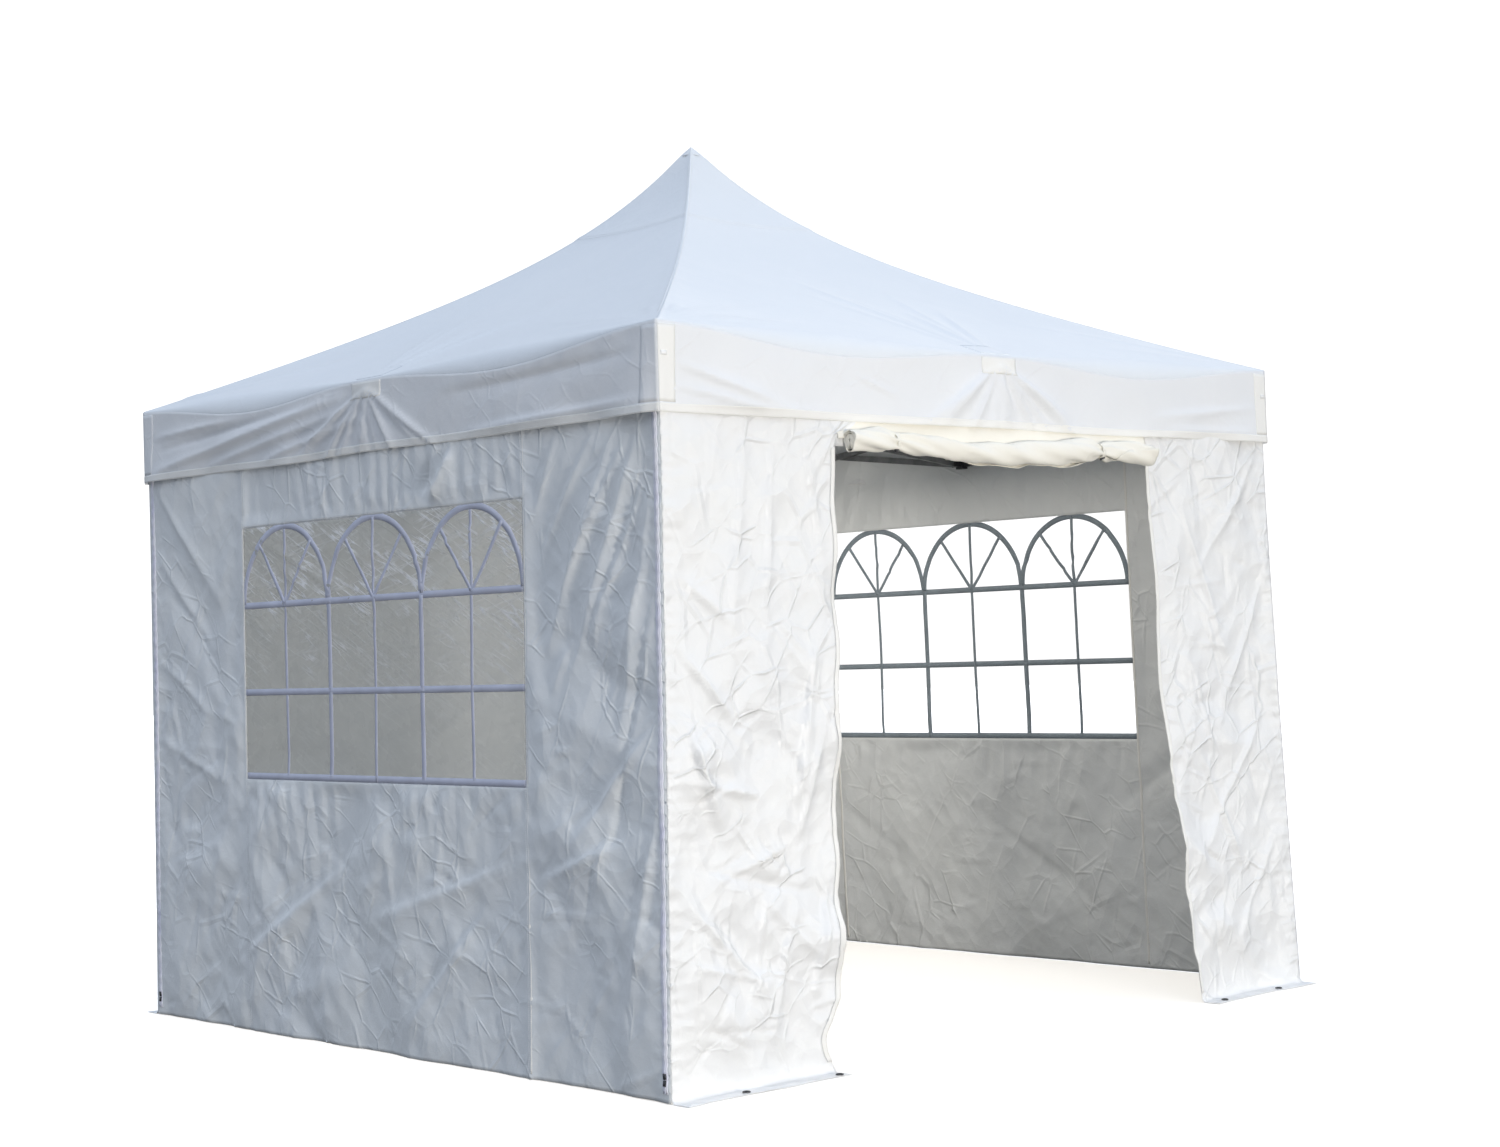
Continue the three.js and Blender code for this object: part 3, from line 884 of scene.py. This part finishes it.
def coil_teeth(name, line, material):
    return beads(name, [line], TOOTH_PITCH, TOOTH, material)


def line_on(surface, x, z, *more, lift=0.0):
    """A line on a surface function, as (points, normals)."""
    x, z = np.broadcast_arrays(np.asarray(x, float), np.asarray(z, float))
    points = surface(x, z, *more, lift)
    beside = surface(x + 0.004, z, *more, lift) - surface(x - 0.004, z, *more, lift)
    over = surface(x, z + 0.004, *more, lift) - surface(x, z - 0.004, *more, lift)
    return points, np.cross(beside, over)


def strip(name, surface, xs, zs, lift, material, *more):
    """A doubled piece of cloth sewn on a surface, over a grid of x and z."""
    x, z = np.meshgrid(xs, zs)
    return thick_sheet(name, surface(x, z, *more, lift), material, None, lift + 0.0004)


def corner_zip(side, way):
    """The zip that joins two walls: white tape, coil teeth and a dark slider at the bottom."""
    name = f"{side}_{'a' if way > 0 else 'b'}"
    middle = way * (WALL - 0.026)
    half = 0.011
    zs = levels(STEP, 0.03, 2.05)
    tape = strip(f"zip_tape_{name}", wall_surface, np.linspace(middle - half, middle + half, 4), zs,
                 0.0012, "zip", side)
    ride_wall(tape, side)
    teeth = coil_teeth(f"zip_teeth_{name}", line_on(wall_surface, middle, zs, side, lift=0.0014), "zip")
    ride_wall(teeth, side)
    foot = line_on(wall_surface, middle, np.linspace(0.05, 0.085, 3), side, lift=0.002)
    pull = beads(f"zip_slider_{name}", [foot], 0.02, (0.017, 0.010, 0.005), "plastic")
    ride_wall(pull, side)


def wall_seams(side):
    """Stitched seams between a window wall's panels and round its window."""
    zs = levels(STEP, 0.02, 2.1)
    lines = [
        line_on(wall_surface, way * (WINDOW_HALF + off), zs, side, lift=0.0003)
        for way in (-1, 1)
        for off in (-0.005, 0.005)
    ]
    xs = levels(STEP, -WINDOW_HALF, WINDOW_HALF)
    lines += [
        line_on(wall_surface, xs, z, side, lift=0.0003) for z in (SILL - 0.006, LINTEL + 0.006)
    ]
    ride_wall(stitches(f"wall_stitches_{side}", lines), side)
    for way, label in ((-1, "a"), (1, "b")):
        across = np.sort(way * np.linspace(WINDOW_HALF - 0.001, WINDOW_HALF + 0.011, 3))
        x, z = np.meshgrid(across, zs)
        tape = thick_sheet(f"seam_tape_{side}_{label}", wall_surface(x, z, side, -0.0006), "trim",
                           None, 0.0010)
        ride_wall(tape, side)


def door_zip(way):
    """Tape, teeth and a row of stitches on one edge of the doorway."""
    name = "left" if way < 0 else "right"
    zs = levels(STEP, 0.035, DOOR_TOP - 0.005)
    edge = door_edge(zs, way)
    rows = [door_surface(way * (edge + off), zs, 0.0012) for off in (0.0, 0.004, 0.013, 0.016)]
    tape = thick_sheet(f"door_tape_{name}", np.array(rows)[:, ::way], "trim", None, 0.0016)
    ride_wall(tape, "front")
    middle = line_on(door_surface, way * (edge + 0.002), zs, lift=0.0016)
    teeth = coil_teeth(f"door_teeth_{name}", middle, "trim")
    ride_wall(teeth, "front")
    beside = line_on(door_surface, way * (edge + 0.019), zs, lift=0.0003)
    ride_wall(stitches(f"door_stitches_{name}", [beside]), "front")


def eyelet(name, x, side):
    """A moulded ring pressed into the ground flap."""
    turn = np.linspace(0, 2 * math.pi, 25)[:-1]
    section = ((0.006, 0.0002), (0.0062, 0.0032), (0.0085, 0.0040), (0.0120, 0.0030), (0.0128, 0.0002))
    foot = wall_surface(np.array(float(x)), np.array(0.014), side)
    outward = turned(np.array((0.0, -1.0, 0.0)), SIDES.index(side))
    centre = foot + outward * (FLAP - 0.026)
    rings = np.array([
        np.stack((radius * np.cos(turn), radius * np.sin(turn), np.full_like(turn, up)), -1)
        for radius, up in section
    ])
    vertices = rings.reshape(-1, 3) + (centre[0], centre[1], 0.0058)
    count = len(turn)
    total = len(vertices)
    faces = [
        ((low + count) % total + n, (low + count) % total + (n + 1) % count,
         low + (n + 1) % count, low + n)
        for low in range(0, total, count)
        for n in range(count)
    ]
    ride_wall(new_piece(name, vertices, faces, "plastic"), side)


for wall_side in ("left", "right"):
    wall_seams(wall_side)
    for toward in (-1, 1):
        corner_zip(wall_side, toward)
for toward in (-1, 1):
    door_zip(toward)
for number, place in enumerate((-1.26, -0.905, 0.98, 1.30)):
    eyelet(f"eyelet_front_{number}", place, "front")
for number, place in enumerate(np.linspace(-1.4, 1.4, 5)):
    eyelet(f"eyelet_back_{number}", place, "back")

# ---------------------------------------------------------------- windows
ARCHES = 3
PITCH = 2 * WINDOW_HALF / ARCHES
SPRING = 1.52  # where the arches rise from the upper cross bar
LOW_BAR = 1.21
THICK_BAR = 0.0115
THIN_BAR = 0.007


def film_surface(x, z, side, lift=0.0):
    """The clear sheet: nearly flat below, rippled near its top and corners."""
    seed = SEED[side]
    edge = np.minimum(WINDOW_HALF - abs(x), np.minimum(z - SILL, LINTEL - z))
    relief = 0.006 * swell(x, z, 0.42, seed)
    relief += 0.0030 * facets(x, z, 0.12, seed + 1, 0.6, 0.5) * ease(z, 1.15, 1.6)
    relief += fan(x, z, (-WINDOW_HALF, LINTEL), (-20, -31, -44), (0.8, 0.65, 0.5), 0.012, 0.006, seed)
    relief += fan(x, z, (WINDOW_HALF, LINTEL), (-150, -163), (0.7, 0.8), 0.012, 0.005, seed + 3)
    return wall_place(x, z, side, relief * ease(edge, 0, 0.1) + lift)


def straight(x0, z0, x1, z1, count=24):
    return np.stack((np.linspace(x0, x1, count), np.linspace(z0, z1, count)), -1)


def bar_paths():
    """Centre lines of the printed bars in (x, z), each with its half width."""
    levels_of_bars = (SPRING, LOW_BAR, SILL + THICK_BAR)
    paths = [(straight(-WINDOW_HALF, z, WINDOW_HALF, z, 90), THICK_BAR) for z in levels_of_bars]
    radius = PITCH / 2
    for n in range(ARCHES):
        middle = -WINDOW_HALF + (n + 0.5) * PITCH
        turn = np.linspace(0.02, math.pi - 0.02, 48)
        arch = np.stack((middle + (radius - 0.004) * np.cos(turn), SPRING + radius * np.sin(turn)), -1)
        paths.append((arch, THICK_BAR))
        paths.append((straight(middle, SILL, middle, SPRING + radius, 50), THIN_BAR))
        for way in (-1, 1):
            angle = math.radians(90 + 38 * way)
            tip = (middle + radius * math.cos(angle), SPRING + radius * math.sin(angle))
            paths.append((straight(middle, SPRING, *tip), THIN_BAR))
        if n:
            paths.append((straight(middle - radius, SILL, middle - radius, SPRING, 40), THICK_BAR))
    return paths


def ribbon(path, half):
    """Three rows of points across a flat path in (x, z)."""
    ahead = np.gradient(path, axis=0)
    ahead /= np.linalg.norm(ahead, axis=1, keepdims=True)
    side = np.stack((ahead[:, 1], -ahead[:, 0]), -1)
    return np.stack((path + side * half, path, path - side * half), 0)


def window(side):
    x, z = np.meshgrid(levels(STEP, -WINDOW_HALF, WINDOW_HALF), levels(STEP, SILL, LINTEL))
    pane = thick_sheet(f"window_film_{side}", film_surface(x, z, side), f"film_{side}", None, 0.0005)
    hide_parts(f"window_{side}")
    ride_wall(pane, side)
    for n, (path, half) in enumerate(bar_paths()):
        flat = ribbon(path, half)
        inside = np.clip(flat[..., 0], -WINDOW_HALF, WINDOW_HALF)
        below = np.clip(flat[..., 1], SILL, LINTEL)
        points = film_surface(inside, below, side, 0.0006)
        bar = thick_sheet(f"window_bar_{side}_{n:02d}", points, f"print_{side}", None, 0.0009)
        ride_wall(bar, side)


window("left")
window("right")


# ---------------------------------------------------------------- canopy
CAP_SEAM = 0.32
TIP = 0.045
EAVE_BAND = 0.075  # breadth of the finer rows along the eave


def roof_height(distance):
    share = distance / HALF
    return EAVE + RISE * (0.65 * (1 - share) + 0.35 * np.exp(-share / 0.195))


def eave_round(x):
    """Radius of the bend at the eave: tight at the corners and mid-side, soft between them."""
    return 0.005 + 0.050 * np.sin(np.pi * np.clip(abs(x) / HALF, 0, 1)) ** 2


def eave_sag(x):
    return 0.026 * np.clip(1 - abs(x) / HALF, 0, 1) ** 0.8


def roof_relief(x, s, side):
    """How far the roof stands off its smooth surface. s is the distance from the middle."""
    seed = SEED[side]
    share = np.clip(s / HALF, 0, 1)
    across = x / np.maximum(s, 1e-6)
    relief = -0.020 * (1 - across ** 2) * np.sin(np.pi * share) ** 0.8
    relief += 0.008 * swell(x, s, 0.5, seed) * share
    relief += fan(x, s, (0, HALF), (-58, -72, -86, -97, -110, -124), (0.7, 0.8, 0.5, 0.6, 0.8, 0.7),
                  0.028, 0.008, seed + 2)
    for way in (-1, 1):
        relief += fan(x * way, s, (HALF - 0.02, HALF - 0.02), (-158, -167, -174, -146),
                      (1.0, 0.8, 0.5, 0.35), 0.026, 0.008, seed + 5 + way)
        relief += fan(x * way, s, (HALF - 0.05, HALF - 0.05), (-170, -160, -150, -142),
                      (0.2, 0.26, 0.22, 0.3), 0.010, 0.004, seed + 8 + way)
    relief *= ease(1 - abs(across), 0, 0.08) * ease(HALF - s, 0, 0.12)
    relief += 0.0018 * (1 - ease(s, CAP_SEAM - 0.003, CAP_SEAM + 0.003))
    relief += 0.0024 * np.exp(-((s - CAP_SEAM + 0.010) / 0.005) ** 2)
    relief += 0.0016 * (1 - ease(s - abs(x), 0.010, 0.014))
    return relief


def roof_surface(x, s, side, lift=0.0):
    bend = eave_round(x)
    inward = np.clip((s - (HALF - bend)) / bend, 0, 1)
    drop = bend * (1 - np.sqrt(1 - inward ** 2))
    rounded = np.where(s < TIP, (TIP - s) ** 2 / TIP * 0.25, 0)
    z = roof_height(s) - rounded - drop - eave_sag(x) * (s / HALF) ** 3
    z = z + roof_relief(x, s, side) + lift
    return turned(np.stack(np.broadcast_arrays(x, -s, z), -1), SIDES.index(side))


def roof_panel(side):
    body = levels(STEP, 0.004, HALF - EAVE_BAND, CAP_SEAM - 0.014, CAP_SEAM - 0.003, CAP_SEAM + 0.003)
    rim = HALF - EAVE_BAND * (1 - np.sin(np.linspace(0, np.pi / 2, 16)[1:]))
    stations = np.concatenate((body, rim))
    columns = round(2 * HALF / STEP)
    across = np.linspace(-1, 1, columns + 1)
    s, t = np.meshgrid(stations[::-1], across, indexing="ij")
    piece = thick_sheet(f"roof_cloth_{side}", roof_surface(s * t, s, side), "canopy")
    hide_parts(f"canopy_{side}")
    close_up(piece, f"canopy_{side}")


def roof_stitches(side):
    """Two rows along the cap's seam and one beside each hip."""
    lines = [
        line_on(roof_surface, np.linspace(-s + 0.01, s - 0.01, 60), s, side, lift=0.0004)
        for s in (CAP_SEAM - 0.004, CAP_SEAM - 0.014)
    ]
    along = np.linspace(0.06, HALF - 0.08, 120)
    lines += [
        line_on(roof_surface, way * (along - 0.008), along, side, lift=0.0004) for way in (-1, 1)
    ]
    close_up(stitches(f"roof_stitches_{side}", lines), f"canopy_{side}")


# Folds of each skirt, as for the walls. The left one's are drawn from its corners to mid-side.
SKIRT_FOLDS = {
    "left": (
        (-1.44, 2.04, -0.10, 2.22, 0.026, 0.016),
        (-1.40, 2.12, -0.30, 2.21, 0.020, -0.010),
        (-1.44, 2.17, -0.70, 2.20, 0.018, 0.010),
        (-1.10, 2.03, -0.06, 2.17, 0.022, 0.012),
        (-0.70, 2.02, -0.03, 2.13, 0.018, 0.010),
        (1.46, 2.06, 0.50, 2.03, 0.018, 0.010),
        (1.40, 2.20, 0.40, 2.16, 0.026, -0.010),
    ),
    "front": (
        (-1.44, 2.16, -0.98, 2.04, 0.016, 0.012),
        (-1.45, 2.09, -1.05, 2.03, 0.014, 0.010),
        (-1.42, 2.04, -0.70, 2.03, 0.012, 0.006),
        (-0.70, 2.16, -0.48, 2.09, 0.008, 0.006),
        (0.06, 2.20, 0.36, 2.04, 0.020, 0.015),
        (-0.06, 2.20, -0.30, 2.03, 0.020, 0.015),
        (-0.02, 2.18, 0.08, 2.05, 0.014, 0.009),
        (1.42, 2.05, 0.90, 2.04, 0.016, 0.009),
        (1.44, 2.14, 0.80, 2.08, 0.020, 0.008),
    ),
    "right": ((-1.44, 2.05, -0.30, 2.20, 0.024, 0.012), (1.44, 2.05, 0.30, 2.20, 0.024, 0.012)),
    "back": ((-1.44, 2.05, -0.20, 2.20, 0.024, 0.012), (1.40, 2.08, 0.60, 2.04, 0.018, 0.010)),
}
HEM_BAND = 0.026


def hem_line(x, side):
    return SKIRT_HEM + 0.006 * swell(x, x * 0, 0.5, SEED[side] + 3)


def skirt_relief(x, z, side):
    seed = SEED[side]
    depth = np.clip((EAVE - z) / (EAVE - SKIRT_HEM), 0, 1)
    relief = 0.010 * swell(x, z, 0.5, seed) * depth
    relief += 0.006 * swell(x, z * 0, 0.17, seed + 1) * depth ** 2
    relief += fan(x, z, (0, EAVE - 0.05), (-28, -40, -56, -76, -90, -105, -124, -140, -152),
                  (0.50, 0.40, 0.30, 0.24, 0.23, 0.25, 0.31, 0.40, 0.50), 0.013, 0.012, seed + 2)
    relief += ridges(x, z, SKIRT_FOLDS[side])
    relief += 0.0035 * facets(x, z, 0.14, seed + 4, 0.3, 0.6) * depth
    return 1.25 * relief * ease(HALF - abs(x), 0, 0.06)


def skirt_top(x):
    return roof_height(HALF) - eave_round(x) - eave_sag(x)


def skirt_surface(x, z, side, lift):
    below = skirt_top(x) - z
    relief = skirt_relief(x, z, side) * ease(below, 0, 0.05)
    near_mid = 0.004 * np.exp(-(x / 0.05) ** 2) * np.exp(-((below - 0.03) / 0.03) ** 2)
    points = np.stack(np.broadcast_arrays(x, -(HALF + relief + near_mid + lift), z), -1)
    return turned(points, SIDES.index(side))


def skirt(side):
    xs = levels(STEP, -HALF, HALF)
    rows = round((EAVE - SKIRT_HEM) / (STEP * 0.85))
    x, depth = np.meshgrid(xs, np.linspace(1, 0, rows + 1))
    top = skirt_top(x) + 0.003
    z = top - depth * (top - hem_line(x, side))
    piece = thick_sheet(f"skirt_{side}", skirt_surface(x, z, side, CLOTH), "skirt")
    ride_wall(piece, side)
    sewn = [f"skirt_{part}_{side}" for part in ("hem", "stitches", "middle")]
    sewn += [f"skirt_corner_{side}_{label}" for label in "ab"]


def hem(side):
    """The turned-up edge of the skirt: a doubled band with a rounded lower edge, and its stitches."""
    xs = levels(STEP, -HALF, HALF)
    profile = ((0.0004, -0.0005), (0.0016, 0.0006), (0.0022, 0.006), (0.0018, HEM_BAND - 0.003),
               (0.0014, HEM_BAND))
    rows = [skirt_surface(xs, hem_line(xs, side) + up, side, out) for out, up in profile]
    band = thick_sheet(f"skirt_hem_{side}", np.array(rows), "trim", None, 0.0012)
    ride_wall(band, side)
    lines = [
        line_on(skirt_surface, xs, hem_line(xs, side) + up, side, lift=0.0021)
        for up in (0.005, HEM_BAND - 0.006)
    ]
    ride_wall(stitches(f"skirt_stitches_{side}", lines), side)


def skirt_patches(side):
    """Doubled cloth where the skirt is stressed: both ends, the middle, and a small tab."""
    low = SKIRT_HEM + HEM_BAND + 0.004
    facing = side in ("front", "back")
    for way, label in ((-1, "a"), (1, "b")):
        ends = np.sort(way * np.linspace(HALF - 0.072, HALF - 0.0015, 8))
        zs = levels(STEP, low, EAVE - 0.012)
        # On the front and back the corner patches take the lighter trim cloth, a painted highlight for a
        # sunlit patch; on the left and right the same patches take the skirt cloth.
        piece = strip(f"skirt_corner_{side}_{label}", skirt_surface, ends, zs, 0.0013,
                      "trim" if facing else "skirt", side)
        ride_wall(piece, side)
        if facing:
            tab_x = np.sort(way * np.linspace(HALF - 0.036, HALF - 0.012, 5))
            tab = strip(f"skirt_tab_{side}_{label}", skirt_surface, tab_x,
                        np.linspace(2.176, 2.190, 3), 0.0030, "thread", side)
            ride_wall(tab, side)
    middle = strip(f"skirt_middle_{side}", skirt_surface, np.linspace(-0.085, 0.085, 17),
                   levels(STEP * 0.7, 2.192, skirt_top(0.0) - 0.002), 0.0014, "trim", side)
    ride_wall(middle, side)
    over = strip(f"roof_middle_{side}", roof_surface, np.linspace(-0.075, 0.075, 15),
                 np.linspace(HALF - 0.010, HALF - 0.10, 10), 0.0012, "canopy", side)
    close_up(over, f"canopy_{side}")


def peak_patch():
    """A round double patch sewn over the tip, where the pole's cap pushes."""
    radii = np.linspace(0.0015, 0.034, 10)
    turn = np.linspace(0, 2 * math.pi, 49)
    radius, angle = np.meshgrid(radii, turn, indexing="ij")
    x, y = radius * np.cos(angle), radius * np.sin(angle)
    reach = 0.5 * np.maximum(abs(x), abs(y)) + 0.5 * radius * 0.9
    z = roof_height(reach) - (TIP - np.minimum(reach, TIP)) ** 2 / TIP * 0.25 + 0.0035
    piece = thick_sheet("peak_patch", np.stack((x, y, z), -1)[:, ::-1], "canopy", None, 0.0012)
    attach(piece, "peak_pole")


peak_patch()
for roof_side in SIDES:
    roof_stitches(roof_side)
    hem(roof_side)
    skirt_patches(roof_side)
    roof_panel(roof_side)
    skirt(roof_side)


# ---------------------------------------------------------------- rolled door
TIES = (-0.54, 0.48)


def roll_radius(x):
    pinch = sum(0.45 * np.exp(-((x - tie) / 0.035) ** 2) for tie in TIES)
    knot = 0.24 * np.exp(-((x - 0.67) / 0.09) ** 2)
    slack = 0.10 * np.sin(np.pi * np.clip((x - TIES[0]) / (TIES[1] - TIES[0]), 0, 1))
    return ROLL_RADIUS * (0.94 + knot + slack) * (1 - pinch)


def roll_sag(x):
    """Drop of the roll's axis: slack between its ties, level outside them."""
    share = np.clip((x - TIES[0]) / (TIES[1] - TIES[0]), 0, 1)
    return 0.027 * np.sin(np.pi * share ** 0.9) ** 1.3


def wound(wind):
    """Radius share and angle at a share of the winding: a tight core and three looser turns."""
    tight, loose = 6.5, 3.2
    inner = np.clip(wind / 0.5, 0, 1)
    outer = np.clip((wind - 0.5) / 0.5, 0, 1)
    share = 0.16 + 0.30 * inner + 0.54 * outer
    angle = 2 * np.pi * (tight * inner + loose * outer)
    return share, angle


def door_roll():
    """The door cloth wound on itself, tied twice and slack between the ties."""
    xs = levels(STEP * 0.7, roll_low.x + 0.045, roll_high.x - 0.030)
    x, wind = np.meshgrid(xs, np.linspace(0, 1, 230))
    share, angle = wound(wind)
    twist = 1.6 * smooth((x - TIES[1]) / 0.14) - 0.9 * np.exp(-abs(x - TIES[0]) / 0.16)
    angle = angle + twist + 0.8 * x
    draw = sum(np.exp(-abs(x - tie) / 0.16) for tie in TIES)
    wrinkle = 0.0075 * np.sin(angle * 5 + x * 34) * draw
    wrinkle += 0.0080 * facets(x, angle * 0.03, 0.07, 11, 0.8)
    wrinkle += 0.0045 * np.sin(angle * 3 + x * 19 + 2 * np.sin(x * 7))
    radius = roll_radius(x) * share + wrinkle * share ** 2
    flat = 0.80 + 0.12 * np.exp(-((x - TIES[0]) / 0.2) ** 2)
    y = ROLL_Y - radius * np.cos(angle) * flat
    z = ROLL_Z - roll_sag(x) + radius * np.sin(angle) * (1.06 + 0.10 * np.sin(6 * x))
    points = np.stack((x, np.minimum(y, -WALL - 0.004), z), -1)
    piece = thick_sheet("door_roll_cloth", points, "door", None, 0.0009)
    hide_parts("door_roll")
    ride_wall(piece, "front")


def door_head():
    """The flat stretch of door cloth from the wall's top down behind the roll."""
    xs = levels(STEP, -DOOR_HALF_TOP + 0.01, DOOR_HALF_TOP - 0.01)
    x, share = np.meshgrid(xs, np.linspace(0, 1, 14))
    bottom = ROLL_Z - roll_sag(x) + 0.008
    z = bottom + share * (2.04 - bottom)
    out = 0.005 + 0.014 * (1 - share) ** 2 + 0.004 * facets(x, z, 0.11, 77, 0.4) * (1 - share)
    points = np.stack((x, -(WALL + out), z), -1)
    piece = thick_sheet("door_head", points, "door", None, 0.001)
    ride_wall(piece, "front")


def door_tie(x, n):
    """A webbing loop round the roll with a dark toggle under it."""
    turn = np.linspace(0, 2 * math.pi, 40)
    radius = float(roll_radius(x)) + 0.003
    drop = float(roll_sag(x))
    y = np.minimum(ROLL_Y - radius * 0.86 * np.cos(turn), -WALL - 0.003)
    z = ROLL_Z - drop + radius * 1.06 * np.sin(turn)
    rows = [np.stack((np.full(40, x + half), y, z), -1) for half in (-0.007, -0.003, 0.003, 0.007)]
    loop = thick_sheet(f"door_tie_{n}", np.array(rows), "door", None, 0.0018)
    ride_wall(loop, "front")
    path = [(x - 0.012 + 0.003 * k, ROLL_Y - 0.010, ROLL_Z - drop - radius - 0.006 + 0.001 * k)
            for k in range(8)]
    ride_wall(tube(f"door_toggle_{n}", path, 0.0040, "plastic"), "front")


for number, place in enumerate(TIES):
    door_tie(place, number)
door_head()
door_roll()


# ---------------------------------------------------------------- frame
BAR_DEEP = 0.025
BAR_WIDE = 0.012
SLEEVE_HALF = 0.021
COLLAR_HALF = 0.018
INNER_HALF = 0.0125


def vertices_of(node):
    mesh = frame["nodes"][node].data
    flat = np.empty(3 * len(mesh.vertices))
    mesh.vertices.foreach_get("co", flat)
    return flat.reshape(-1, 3)


def squared_off(value):
    """Turns a circle's cosine or sine into that of a square with rounded corners."""
    return np.sign(value) * abs(value) ** 0.35


def bar_plugs(bar):
    """Moulded plugs that close the two ends of a scissor bar."""
    points = vertices_of(bar)
    middle = points.mean(0)
    axis = np.linalg.svd(points - middle)[2][0]
    along = (points - middle) @ axis
    sides = 20
    profile = ((0.97, -0.004), (1.0, 0.0003), (0.96, 0.0016), (0.7, 0.0022))
    vertices, faces = [], []
    for way in (-1, 1):
        tip = (along * way).max()
        face = points[along * way > tip - 0.001]
        centre = (face.min(0) + face.max(0)) / 2
        wide = np.cross(axis, (0, 0, 1.0))
        wide /= np.linalg.norm(wide)
        deep = np.cross(wide, axis)
        turn = 2 * math.pi * (np.arange(sides) + 0.5) / sides
        faces += ring_faces(len(profile), sides, len(vertices) * sides)
        for shrink, out in profile:
            ring = (
                centre
                + np.outer(squared_off(np.cos(turn)) * BAR_WIDE / 2 * shrink, wide)
                + np.outer(squared_off(np.sin(turn)) * BAR_DEEP / 2 * shrink, deep)
                + axis * way * out
            )
            vertices.append(ring)
    piece = new_piece(f"{bar}_plugs", np.concatenate(vertices), faces, "plastic", 0)
    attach(piece, bar)


def dome(name, centre, outward, radius, height, material, body):
    """A round button with a rolled edge, standing on a face."""
    outward = np.array(outward, float)
    one = np.cross(outward, (0, 0, 1.0))
    two = np.cross(one, outward)
    sides = 24
    turn = 2 * math.pi * np.arange(sides) / sides
    profile = ((1.0, -0.1), (1.0, 0.35), (0.93, 0.62), (0.72, 0.85), (0.4, 0.97), (0.1, 1.0))
    rings = np.array([
        np.array(centre) + outward * height * up
        + radius * share * (np.outer(np.cos(turn), one) + np.outer(np.sin(turn), two))
        for share, up in profile
    ])
    piece = new_piece(name, rings.reshape(-1, 3), ring_faces(len(profile), sides), material)
    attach(piece, body)


def leg_details(corner, quarter):
    """Release button on the slider, height button on the collar, and black discs of painted shade where
    the inner leg's holes are.
    """
    inward = turned(np.array((1.0, 0.0, 0.0)), quarter)
    slider_low, slider_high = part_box(f"slider_{corner}")
    slider_z = (slider_low.z + slider_high.z) / 2 - 0.021
    collar_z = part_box(f"outer_leg_{corner}")[0].z + 0.030
    buttons = [
        (f"slider_button_{corner}", SLEEVE_HALF, slider_z, 0.0085, 0.006, "bright", "slider"),
        (f"height_button_{corner}", COLLAR_HALF, collar_z, 0.0075, 0.005, "bright", "outer_leg"),
    ]
    # The inner leg's holes are not cut: each is a flat black plastic disc, painted shade for the hollow
    # seen through the hole.
    buttons += [
        (f"leg_hole_{corner}_{n}", INNER_HALF, 0.10 + 0.085 * n, 0.0045, 0.0003, "plastic", "inner_leg")
        for n in range(6)
    ]
    for name, half, z, radius, height, material, body in buttons:
        centre = turned(np.array((-LEG + half, -LEG, z)), quarter)
        dome(name, centre, inward, radius, height, material, f"{body}_{corner}")


PLASTIC_NODES = ("slider", "upper_", "lower_", "hub_upper", "hub_lower", "peak_cap")

for node_name, node in frame["nodes"].items():
    coating = "plastic" if node_name.startswith(PLASTIC_NODES) else "steel"
    for material_slot in node.material_slots:
        material_slot.material = MATERIAL[coating]
    if "_bar_" in node_name:
        bar_plugs(node_name)
for number, corner_name in enumerate(CORNERS):
    leg_details(corner_name, number)
